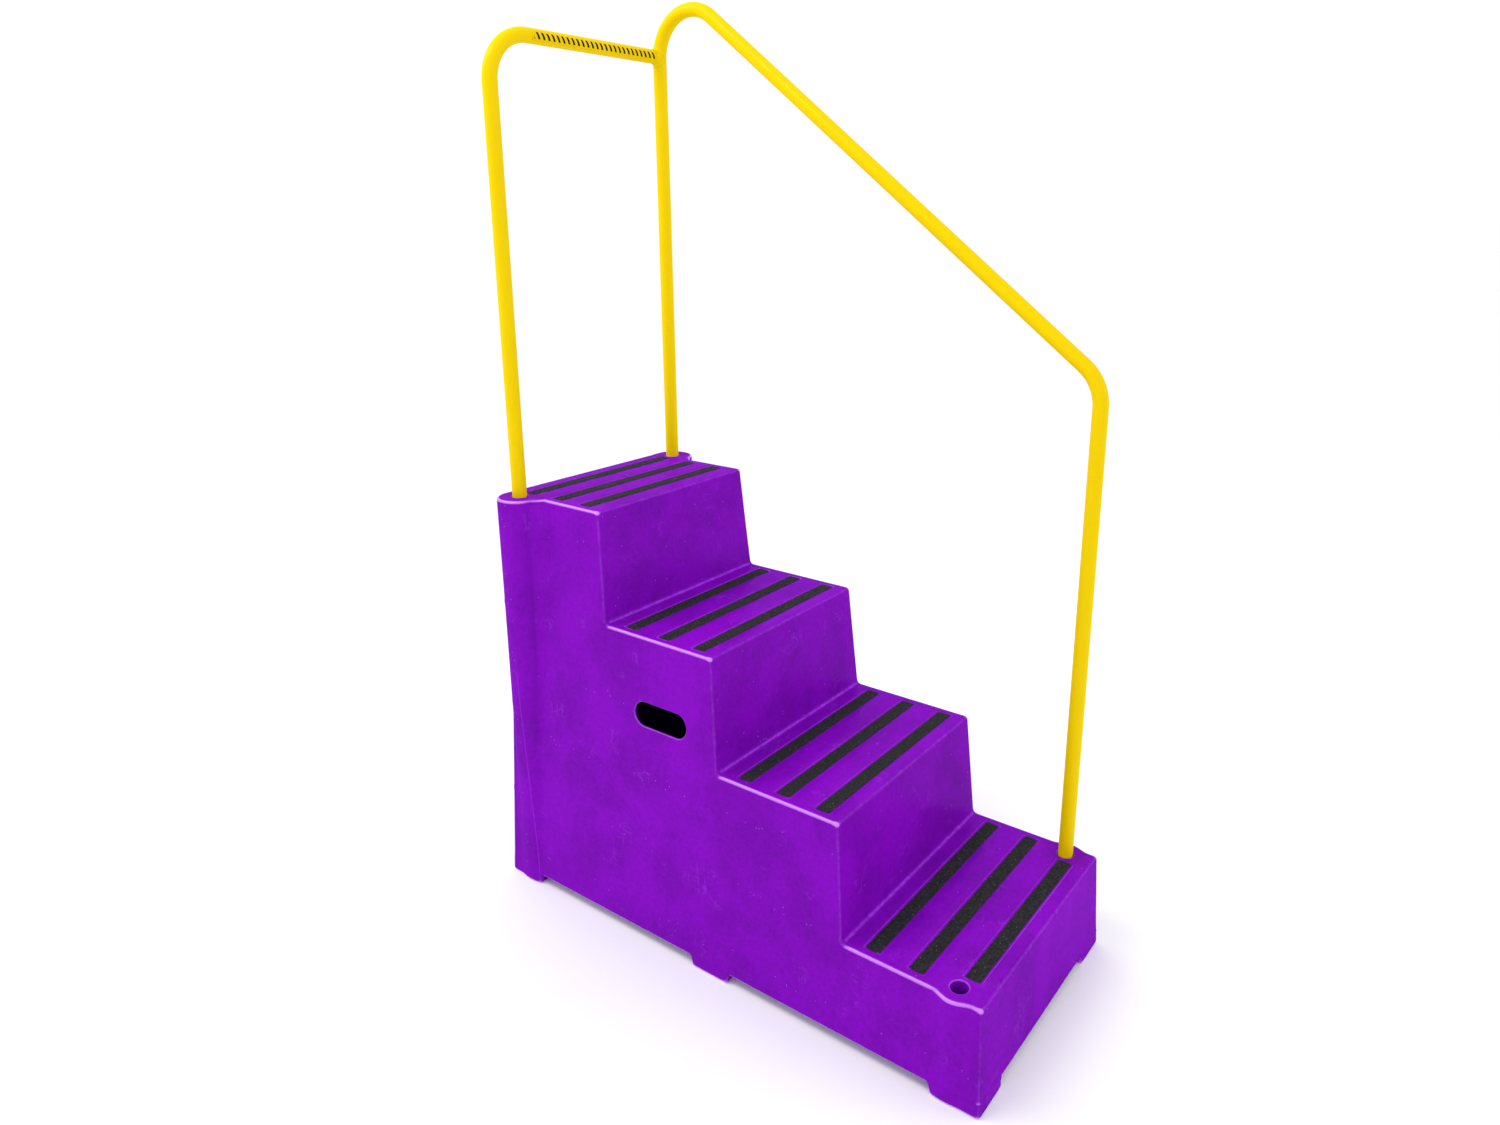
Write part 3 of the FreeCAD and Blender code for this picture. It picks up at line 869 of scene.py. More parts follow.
    def socket(self, verts: np.ndarray, loop: np.ndarray, centre: tuple, top: float,
               inset: float) -> tuple[np.ndarray, list]:
        """A blind socket below a tread: rings of points from the loop to the lip and down the bore.

        Args:
            verts: all points so far.
            loop: vertex numbers round the opening.
            centre: the socket's axis in plan.
            top: height of the tread.
            inset: 0 for the outer skin, or the wall's thickness.

        Returns:
            All points with the new ones, and the new blocks of faces.
        """
        s = self.sizes
        angle = np.arctan2(verts[loop, 1] - centre[1], verts[loop, 0] - centre[0])
        direction = np.stack([np.cos(angle), np.sin(angle)], axis=1)
        radius = s.bore + inset
        lip = s.socket_lip
        mouth = np.array(centre) + direction * (radius + lip)
        shares = (0.35, 0.7, 1.0)
        flat = [verts[loop, :2] * (1 - share) + mouth * share for share in shares]
        level = np.full(len(loop), top - inset)
        surface = np.concatenate([np.column_stack([ring, level]) for ring in flat])
        surface = self.settle(surface, inset, rounds=4)
        brim = surface[-len(loop):]
        profile = [(radius + grow, down) for grow, down in self.quarter(lip, 4)]
        depth, foot = s.socket_depth, self.floor_round
        profile += [(radius, down) for down in (*self.bore_levels, depth - foot)]
        profile += [(radius - foot * 0.3, depth - foot * 0.25), (radius - foot, depth), (radius * 0.4, depth)]
        rows = [
            np.column_stack([np.array(centre) + direction * out, brim[:, 2] - down])
            for out, down in profile
        ]
        bottom = np.array([[centre[0], centre[1], rows[-1][:, 2].mean()]])
        start = len(verts)
        added = np.concatenate([surface] + rows + [bottom])
        count = len(shares) + len(profile)
        faces = self.rows_between(loop, count, start)
        last = start + (count - 1) * len(loop) + np.arange(len(loop))
        fan = np.stack([last, np.roll(last, -1), np.full(len(loop), start + len(added) - 1)], axis=1)
        return np.concatenate([verts, added]), [faces, fan]

    def slot_outline(self, points: np.ndarray, grow: float) -> np.ndarray:
        """Nearest points on a hand slot's outline, a straight bar with round ends.

        Args:
            points: places along the flight and up.
            grow: how far the outline is widened.

        Returns:
            Places on the outline.
        """
        s = self.sizes
        y0, z0 = s.slot_centre
        straight = (s.slot_length - s.slot_height) / 2
        along = np.clip(points[:, 0], y0 - straight, y0 + straight)
        spine = np.column_stack([along, np.full(len(points), z0)])
        away = points - spine
        away /= np.linalg.norm(away, axis=1)[:, None]
        return spine + away * (s.slot_height / 2 + grow)

    def slot_margin(self, verts: np.ndarray, loop: np.ndarray, inset: float) -> tuple:
        """Rings of wall from a square opening in to the edge of a hand slot.

        Args:
            verts: all points so far.
            loop: vertex numbers round the opening.
            inset: 0 for the outer skin, or the wall's thickness.

        Returns:
            All points with the new ones, the new quads, and the loop at the edge.
        """
        opening = verts[loop]
        edge = self.slot_outline(opening[:, 1:], self.sizes.slot_round)
        shares = (0.5, 1.0)
        rings = [
            np.column_stack([opening[:, 0], opening[:, 1:] * (1 - share) + edge * share])
            for share in shares
        ]
        settled = self.settle(np.concatenate(rings), inset, rounds=4)
        start = len(verts)
        faces = self.rows_between(loop, len(shares), start)
        rim = start + (len(shares) - 1) * len(loop) + np.arange(len(loop))
        return np.concatenate([verts, settled]), faces, rim

    def rim(self, verts: np.ndarray, outer: np.ndarray, inner: np.ndarray) -> tuple[np.ndarray, np.ndarray]:
        """Rounded edge of a hand slot, from the outer loop through the wall to the inner loop.

        Args:
            verts: all points so far.
            outer: vertex numbers of the outer loop.
            inner: vertex numbers of the inner loop.

        Returns:
            All points with the new ones, and the new quads.
        """
        round_off = self.sizes.slot_round
        a, b = verts[outer], verts[inner]
        thick = np.abs(a[:, 0] - b[:, 0]).mean()
        profile = self.quarter(round_off, 3)
        profile += [(grow, thick - down) for grow, down in reversed(profile)]
        rows = []
        for grow, down in profile:
            yz = self.slot_outline(a[:, 1:], grow)
            x = a[:, 0] + (b[:, 0] - a[:, 0]) * down / thick
            rows.append(np.column_stack([x, yz]))
        start = len(verts)
        faces = self.rows_between(outer, len(profile), start)
        last = start + (len(profile) - 1) * len(outer) + np.arange(len(outer))
        close = np.stack([last, np.roll(last, -1), np.roll(inner, -1), inner], axis=1)
        return np.concatenate([verts] + rows), np.concatenate([faces, close])

    # ------------------------------------------------------------ the piece

    def painted_highlight_mask(self, p: np.ndarray, reach: float) -> np.ndarray:
        """Painted highlights: how convex the skin is, from how far points a short way along it lie outside.

        The painted highlight is strongest on the side edges, where the overhead light glints, weaker on noses
        and upright edges; the riser-foot corners and the lips of the strips' recesses get painted highlight
        lines.

        Args:
            p: points on the skin.
            reach: how far along the skin the points beside each one are.

        Returns:
            A number for each point, above 0 on an outer edge and below 0 in an inner corner.
        """
        normal = self.slope(p, 0.0)
        normal /= np.maximum(np.linalg.norm(normal, axis=1), TINY)[:, None]
        helper = np.where(np.abs(normal[:, 2:3]) < 0.8, [[0.0, 0.0, 1.0]], [[1.0, 0.0, 0.0]])
        first = np.cross(normal, helper)
        first /= np.linalg.norm(first, axis=1)[:, None]
        second = np.cross(normal, first)
        around = [self.distance(p + way * reach, 0.0) for way in (first, -first, second, -second)]
        bend = np.mean(around, axis=0) / reach
        # Painted highlight: strongest on edges between the sides and the treads, weaker on noses; in the
        # concave riser-foot corners it is a painted highlight line.
        beside = 2.0 * np.abs(normal[:, 0] * normal[:, 2])
        riser_foot = 2.0 * np.abs(normal[:, 1] * normal[:, 2])
        outer = self.least_highlight + (1.0 - self.least_highlight) * beside
        outer += (self.nose_highlight - self.least_highlight) * riser_foot
        rub_and_highlight = np.where(bend > 0, outer, riser_foot)
        # Painted highlight line along the lips of the strips' recesses.
        share = self.recess(p)
        lip = share * (1.0 - share) * 4.0 * self.lip_highlight
        return bend * rub_and_highlight * (1.0 - smooth_step(share * 4.0)) + lip

    def rim_points(self, p: np.ndarray) -> np.ndarray:
        """Which points lie on the rounded mouth of a socket or the rounded rim of a hand slot.

        Args:
            p: points.

        Returns:
            True for each such point.
        """
        s = self.sizes
        from_axis = np.hypot(np.abs(p[:, 0]) - s.socket_x, np.abs(p[:, 1]) - s.socket_y)
        mouth = np.where(p[:, 1] < 0, s.tread_z[0], s.top)
        on_mouth = np.abs(from_axis - s.bore - s.socket_lip * 0.3) < s.socket_lip * 0.5
        on_mouth &= np.abs(p[:, 2] - mouth) < s.socket_lip
        from_rim = np.linalg.norm(p[:, 1:] - self.slot_outline(p[:, 1:], s.slot_round * 0.4), axis=1)
        half = s.floor_width / 2 - p[:, 2] * s.side_draft
        on_slot = (from_rim < s.slot_round * 0.5) & (np.abs(np.abs(p[:, 0]) - half) < s.slot_round)
        return on_mouth | on_slot

    def build(self, material: bpy.types.Material) -> bpy.types.Object:
        """Make the shell: outer skin, inner skin and the rims of the hand slots.

        Args:
            material: moulded plastic.

        Returns:
            The shell, dressed.
        """
        outer, outer_faces, outer_slots = self.skin(0.0)
        inner, inner_faces, inner_slots = self.skin(self.sizes.wall)
        shift = len(outer)
        verts = np.concatenate([outer, inner])
        faces = outer_faces + [block[:, ::-1] + shift for block in inner_faces]
        for a, b in zip(outer_slots, inner_slots):
            verts, block = self.rim(verts, a, b + shift)
            faces.append(block)
        item = closed_piece("step_body_shell", verts, faces)
        # The edge attribute holds the painted highlights: along the rounded edges, in the riser-foot corners,
        # on the recess lips, and as pale rings on the socket mouths and hand-slot rims.
        painted_highlight = np.zeros(len(verts))
        painted_highlight[:len(outer)] = self.painted_highlight_mask(outer, self.highlight_reach)
        painted_highlight[self.rim_points(verts)] = self.rim_highlight
        set_attribute(item, "edge", painted_highlight)
        dress(item, material, Body.BLOCK, Slot.PLASTIC, "step_body")
        return item


# ---------------------------------------------------------------- grip strips

@dataclass
class GripTapes:
    """Twelve grit-faced tapes: thin slabs with rounded corners and a cut that isn't quite straight."""

    strips: list[Strip]
    corner: float = 3 * MM
    side_inset: float = 0.35 * MM
    waver: float = 0.2 * MM
    fray: float = 0.3 * MM
    cut_waves: tuple = (21.0, 58.0)
    sink: float = 0.1 * MM
    lift_waves: tuple = (33.0, 120.0)
    spacing: float = 2.2 * MM
    columns: int = 9
    seed: int = 41

    def stations(self, half: float) -> np.ndarray:
        """Places along a tape: even along its run, closer round its corners.

        Args:
            half: half the tape's length.

        Returns:
            Sorted places from end to end.
        """
        inner = half - self.corner
        run = np.linspace(-inner, inner, int(2 * inner / self.spacing) + 1)
        turn = self.corner * np.sin(np.radians(np.linspace(15, 90, 6)))
        return np.concatenate([-(inner + turn)[::-1], run, inner + turn])

    def slab(self, strip: Strip, rng: np.random.Generator) -> tuple[np.ndarray, list[np.ndarray]]:
        """Points and faces of one tape.

        At each station the half width is the full one less a quarter circle's fall near the ends,
        plus slow waves and a small random fray. The top and the base are grids of the same size,
        joined round the border.

        Args:
            strip: the strip that the tape stands for.
            rng: source of the waver and the fray in the cut.

        Returns:
            Points, and blocks of quads.
        """
        sides = np.linspace(-1, 1, self.columns)
        middle_y = (strip.low.y + strip.high.y) / 2
        half_width = (strip.high.y - strip.low.y) / 2 - self.waver
        along = self.stations(strip.high.x - self.waver)
        past = np.clip(np.abs(along) - (strip.high.x - self.waver - self.corner), 0, self.corner)
        half = half_width - self.corner + np.sqrt(self.corner ** 2 - past ** 2)
        phases = rng.uniform(0, 2 * np.pi, 6)
        slow, quick = self.cut_waves
        cut = [np.sin(along * slow + phases[k]) + np.sin(along * quick + phases[k + 1]) for k in (0, 2)]
        frayed = rng.uniform(-self.fray, 0.0, (2, len(along)))
        edges = [self.waver / 2 * cut[0] - frayed[0], self.waver / 2 * cut[1] + frayed[1]]
        waver = np.where(sides[None, :] < 0, edges[0][:, None], edges[1][:, None])
        across = sides[None, :] * half[:, None] + waver * np.abs(sides[None, :]) ** 8
        lengths = np.repeat(along[:, None], self.columns, axis=1)
        border = np.zeros((len(along), self.columns), bool)
        border[[0, -1]] = True
        border[:, [0, -1]] = True
        by_length, by_width = self.lift_waves
        lift = np.sin(lengths * by_length + phases[4]) * np.sin(across * by_width + phases[5]) * self.sink
        thickness = strip.high.z - strip.low.z
        top_z = strip.high.z - self.sink + lift * 0.5 - border * thickness * 0.25
        inset = 1.0 - border * self.side_inset / half_width
        top = np.stack([lengths, middle_y + across * inset, top_z], axis=-1).reshape(-1, 3)
        low_z = np.full(lengths.shape, strip.low.z + self.sink)
        base = np.stack([lengths, middle_y + across, low_z], axis=-1).reshape(-1, 3)
        return np.concatenate([top, base]), slab_faces(*lengths.shape)

    def build(self, material: bpy.types.Material) -> None:
        """Make every tape on its own strip's place.

        Args:
            material: grip tape.
        """
        for number, strip in enumerate(self.strips):
            verts, faces = self.slab(strip, np.random.default_rng(self.seed + number))
            item = closed_piece(strip.node.replace("strip", "tape"), verts, faces, smooth=False)
            dress(item, material, Body.BLOCK, Slot.TAPE, strip.node)


# ---------------------------------------------------------------- the handrail

@dataclass
class Handrail:
    """Two bent tubes, the weld between them, the marking band and the three leg plugs."""

    sizes: BlockSizes
    tube_wall: float = 2 * MM
    bend_radius: float = 85 * MM
    front_height: float = 886 * MM
    rear_height: float = 990 * MM
    cross_height: float = 822 * MM
    plug_flange: float = 3 * MM
    plug_stem: float = 22 * MM
    saddle_rings: tuple = (12 * MM, 1.2 * MM, 0.25 * MM, 0.0)
    weld_leg: float = 7 * MM
    weld_side: float = 0.55
    weld_crown: float = 1.6 * MM
    weld_bulge: float = 2.0 * MM
    weld_ripple: float = 0.25 * MM
    weld_passes: int = 30
    weld_overlap: float = 0.1 * MM
    weld_root: float = 1.5 * MM
    weld_grid: tuple = (168, 9)
    band_height: float = 0.2 * MM
    band_angle: float = math.radians(80)
    band_grid: tuple = (60, 17)
    plug_fit: float = 0.1 * MM
    plug_edge: float = 0.5 * MM
    plug_taper: float = 1.5 * MM
    rib_count: int = 5
    rib_margins: tuple = mm(2, 4)
    rib_depth: float = 0.8 * MM
    rib_levels: tuple = mm(0, 0.7, 1.5, 2.4)
    sides: int = 48
    bend_steps: int = 26

    # ------------------------------------------------------------ paths

    def foot(self, tread: int) -> float:
        """Height of a tube's end in the socket of a tread."""
        return self.sizes.tread_z[tread] - self.sizes.socket_depth + self.plug_flange

    @property
    def cross_level(self) -> float:
        """Height of the cross rail's axis."""
        return self.sizes.top + self.cross_height

    def bent_path(self, corners: np.ndarray) -> tuple[np.ndarray, np.ndarray]:
        """Centre line through corners, with an arc of the bend radius at each one inside.

        Along an arc, the point is its centre plus the radius turned evenly from one run to the next.

        Args:
            corners: ends and corners of the path.

        Returns:
            Points along the path and its direction at each.
        """
        points, ways = [corners[:1]], []
        runs = np.diff(corners, axis=0)
        runs /= np.linalg.norm(runs, axis=1)[:, None]
        for corner, before, after in zip(corners[1:-1], runs, runs[1:]):
            angle = math.acos(float(before @ after))
            reach = self.bend_radius * math.tan(angle / 2)
            sideways = after - before * (before @ after)
            sideways /= np.linalg.norm(sideways)
            centre = corner - before * reach + sideways * self.bend_radius
            turn = np.linspace(0, angle, self.bend_steps)[:, None]
            spokes = np.sin(turn) * before - np.cos(turn) * sideways
            points.append(centre + self.bend_radius * spokes)
            ways.append(np.cos(turn) * before + np.sin(turn) * sideways)
        points.append(corners[-1:])
        path = np.concatenate(points)
        directions = np.concatenate([runs[:1]] + ways + [runs[-1:]])
        return self.divide(path, directions)

    @staticmethod
    def divide(path: np.ndarray, directions: np.ndarray,
               spacing: float = 60 * MM) -> tuple[np.ndarray, np.ndarray]:
        """Split the long straight runs of a path into even pieces.

        Args:
            path: points of the path.
            directions: its direction at each.
            spacing: length that a piece is kept near.

        Returns:
            Points and directions of the finer path.
        """
        steps = np.linalg.norm(np.diff(path, axis=0), axis=1)
        counts = np.maximum(np.round(steps / spacing).astype(int), 1)
        key = np.concatenate([[0], np.cumsum(counts)])
        at = np.arange(key[-1] + 1)
        points = np.stack([np.interp(at, key, path[:, axis]) for axis in range(3)], axis=1)
        ways = np.stack([np.interp(at, key, directions[:, axis]) for axis in range(3)], axis=1)
        return points, ways / np.linalg.norm(ways, axis=1)[:, None]

    def rings(self, path: np.ndarray, ways: np.ndarray, flat: np.ndarray, radius: float) -> np.ndarray:
        """Rings of points round a path that lies in one plane: cosine across it, sine within it.

        Args:
            path: centre line.
            ways: its direction at each point.
            flat: unit vector square to its plane.
            radius: radius of the rings.

        Returns:
            Points by ring and by spoke.
        """
        angle = np.linspace(0, 2 * np.pi, self.sides, endpoint=False)
        inward = np.cross(ways, flat)
        cosine, sine = np.cos(angle)[None, :, None], np.sin(angle)[None, :, None]
        spokes = cosine * flat + sine * inward[:, None, :]
        return path[:, None, :] + radius * spokes

    def tube(self, corners: np.ndarray, flat: np.ndarray, meets: bool) -> tuple[np.ndarray, list]:
        """Outer and inner wall of a bent tube as one grid that closes on itself both ways.

        Args:
            corners: ends and corners of the centre line.
            flat: unit vector square to the centre line's plane.
            meets: whether the last ring is cut to sit on the handrail's rear leg.

        Returns:
            Points and a block of quads.
        """
        path, ways = self.bent_path(corners)
        radius = self.sizes.tube_radius
        outer = self.rings(path, ways, flat, radius)
        inner = self.rings(path, ways, flat, radius - self.tube_wall)
        if meets:
            outer, inner = self.saddle(outer), self.saddle(inner)
        rows = np.concatenate([outer, inner[::-1]])
        return rows.reshape(-1, 3), [grid_faces(len(rows), self.sides, True, True)]

    def saddle(self, wall: np.ndarray) -> np.ndarray:
        """Cut the last ring of a wall to the rear leg's skin, and add three rings close behind it.

        Each point goes along the cross rail to where its own line meets the leg: the leg's axis less
        the root of the squared radius less the squared distance from that axis.

        Args:
            wall: rings of points, the last one at the leg.

        Returns:
            The rings with the cut one and the added ones.
        """
        from_axis = wall[-1, :, 1] - self.sizes.socket_y
        reach = np.sqrt(np.maximum(self.sizes.tube_radius ** 2 - from_axis ** 2, 0))
        backs = np.array(self.saddle_rings)[:, None]
        rings = np.repeat(wall[-1:], len(self.saddle_rings), axis=0)
        rings[:, :, 0] = self.sizes.socket_x - reach - backs
        return np.concatenate([wall[:-1], rings])

    # ------------------------------------------------------------ pieces

    def build_handrail(self, material: bpy.types.Material) -> None:
        """Front leg, slope, arch and rear leg in one tube.

        Args:
            material: rail paint.
        """
        s = self.sizes
        corners = np.array([
            (s.socket_x, -s.socket_y, self.foot(0)),
            (s.socket_x, -s.socket_y, s.tread_z[0] + self.front_height),
            (s.socket_x, s.socket_y, s.top + self.rear_height),
            (s.socket_x, s.socket_y, self.foot(-1)),
        ])
        item = closed_piece("handrail_bar", *self.tube(corners, np.array([1.0, 0.0, 0.0]), False))
        dress(item, material, Body.RAIL, Slot.PAINT, "handrail_tube")

    def build_rear_rail(self, material: bpy.types.Material) -> None:
        """Rear left leg and cross rail in one tube.

        Args:
            material: rail paint.
        """
        s = self.sizes
        corners = np.array([
            (-s.socket_x, s.socket_y, self.foot(-1)),
            (-s.socket_x, s.socket_y, self.cross_level),
            (s.socket_x - s.tube_radius, s.socket_y, self.cross_level),
        ])
        item = closed_piece("rear_rail_bar", *self.tube(corners, np.array([0.0, 1.0, 0.0]), True))
        dress(item, material, Body.RAIL, Slot.PAINT, "rear_rail_tube")

    def build_weld(self, material: bpy.types.Material) -> None:
        """Fillet round the saddle where the cross rail meets the rear leg.

        The saddle line runs round the cross rail where it touches the leg. The fillet starts on the
        rail, a leg's length back along it, and ends on the leg, the same length out from the line;
        a parabola that bends towards the line joins the two. The length shrinks to almost nothing at
        the sides, where the two tubes are flush, and swells a little at each pass of the weld.

        Args:
            material: rail paint.
        """
        s = self.sizes
        radius = s.tube_radius
        columns, rows = self.weld_grid
        turn = np.linspace(0, 2 * np.pi, columns, endpoint=False)
        out = np.stack([np.zeros_like(turn), np.cos(turn), np.sin(turn)], axis=1)
        rail_way = np.array([1.0, 0.0, 0.0])
        into_leg = np.outer(np.abs(np.sin(turn)), rail_way)
        centre = np.array([s.socket_x, s.socket_y, self.cross_level])
        line = centre + radius * (out - into_leg)
        leg = self.weld_leg * np.hypot(np.sin(turn), self.weld_side) / math.hypot(1.0, self.weld_side)
        leg = leg + self.weld_ripple * np.sin(turn * self.weld_passes)
        on_rail = line - np.outer(leg, rail_way) - self.weld_overlap * out
        on_leg = line + leg[:, None] * out
        sideways = np.clip(on_leg[:, 1] - s.socket_y, -radius, radius)
        on_leg[:, 1] = s.socket_y + sideways
        on_leg[:, 0] = s.socket_x - np.sqrt(radius ** 2 - sideways ** 2) + self.weld_overlap
        root = line - self.weld_root * (out - into_leg)
        height = self.weld_crown + self.weld_bulge * np.cos(turn)[:, None] ** 2
        crown = line + height * (out - into_leg)
        after = np.linspace(0, 1, rows)[None, :, None]
        before = 1 - after
        arc = before ** 2 * on_rail[:, None] + 2 * after * before * crown[:, None]
        arc = arc + after ** 2 * on_leg[:, None]
        verts = np.concatenate([arc, root[:, None]], axis=1)
        faces = grid_faces(len(turn), verts.shape[1], True, True)
        item = closed_piece("rail_weld_fillet", verts.reshape(-1, 3), [faces])
        dress(item, material, Body.RAIL, Slot.PAINT, "rail_weld")

    def build_band(self, material: bpy.types.Material) -> None:
        """Thin marking band wrapped on the front of the cross rail, with its own UV map.

        Args:
            material: marking band.
        """
        low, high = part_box("rail_label")
        count, columns = self.band_grid
        along = np.linspace(low.x, high.x, count)
        turn = np.linspace(-self.band_angle / 2, self.band_angle / 2, columns)
        rows = []
        for height in (self.band_height, 0.0):
            radius = self.sizes.tube_radius + height
            x = np.repeat(along[:, None], columns, axis=1)
            y = np.broadcast_to(self.sizes.socket_y - radius * np.cos(turn), x.shape)
            z = np.broadcast_to(self.cross_level + radius * np.sin(turn), x.shape)
            rows.append(np.stack([x, y, z], axis=-1).reshape(-1, 3))
        item = closed_piece("cross_rail_band", np.concatenate(rows), slab_faces(count, columns))
        u, v = np.meshgrid(np.linspace(0, 1, count), np.linspace(0, 1, columns), indexing="ij")
        spots = np.tile(np.stack([u.ravel(), v.ravel()], axis=1), (2, 1))
        corners = np.zeros(len(item.data.loops), int)
        item.data.loops.foreach_get("vertex_index", corners)
        layer = item.data.uv_layers.new(name="band")
        layer.data.foreach_set("uv", spots[corners].ravel())
        dress(item, material, Body.RAIL, Slot.BAND, "rail_label")

    def plug_profile(self) -> np.ndarray:
        """Outline of a plug from its foot to its top: a flange, then a stem with ribs.

        Returns:
            Radius and level of each point.
        """
        radius, flange, edge = self.sizes.tube_radius, self.plug_flange, self.plug_edge
        bore = radius - self.tube_wall - self.plug_fit
        top = flange + self.plug_stem
        points = [(radius - edge, 0.0), (radius, edge), (radius, flange - edge)]
        points += [(radius - edge, flange), (bore - edge, flange)]
        first, last = self.rib_margins
        groove = bore - self.rib_depth
        for rib in np.linspace(flange + first, top - last, self.rib_count):
            points += [(out, rib + up) for out, up in zip((groove, bore, bore, groove), self.rib_levels)]
        return np.array(points + [(bore - self.plug_taper, top)])

    def build_plugs(self, material: bpy.types.Material) -> None:
        """A ribbed plug in the foot of each leg, turned from one profile.

        Args:
            material: rubber.
        """
        radii, levels = self.plug_profile().T
        angle = np.linspace(0, 2 * np.pi, self.sides, endpoint=False)
        x = radii[:, None] * np.cos(angle)
        y = radii[:, None] * np.sin(angle)
        z = np.repeat(levels[:, None], self.sides, axis=1)
        body = np.stack([x, y, z], axis=-1).reshape(-1, 3)
        verts = np.concatenate([body, [(0.0, 0.0, 0.0), (0.0, 0.0, self.plug_flange + self.plug_stem)]])
        first = np.arange(self.sides)
        last = first + len(body) - self.sides
        caps = [
            np.stack([np.full(self.sides, len(body)), np.roll(first, -1), first], axis=1),
            np.stack([np.full(self.sides, len(body) + 1), last, np.roll(last, -1)], axis=1),
        ]
        faces = [grid_faces(len(radii), self.sides, False, True)] + caps
        for name in ("front_leg_plug", "rear_right_leg_plug", "rear_left_leg_plug"):
            low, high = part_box(name)
            centre = np.array([(low.x + high.x) / 2, (low.y + high.y) / 2, low.z])
            item = closed_piece(name.replace("plug", "foot_plug"), verts + centre, faces)
            dress(item, material, Body.RAIL, Slot.PLUG, name)

    def build(self, finishes: "Finishes") -> None:
        """Make every piece of the rail.

        Args:
            finishes: all the materials.
        """
        self.build_handrail(finishes.paint)
        self.build_rear_rail(finishes.paint)
        self.build_weld(finishes.paint)
        self.build_band(finishes.band)
        self.build_plugs(finishes.plug)


# ---------------------------------------------------------------- finishes

Colour = tuple[float, float, float, float]


def display_colour(red: int, green: int, blue: int) -> Colour:
    """Linear colour of a display colour given in steps of 255.

    Args:
        red: red step.
        green: green step.
        blue: blue step.

    Returns:
        Red, green, blue and full cover.
    """
    parts = np.array([red, green, blue]) / 255.0
    linear = np.where(parts <= 0.04045, parts / 12.92, ((parts + 0.055) / 1.055) ** 2.4)
    return (*(float(part) for part in linear), 1.0)


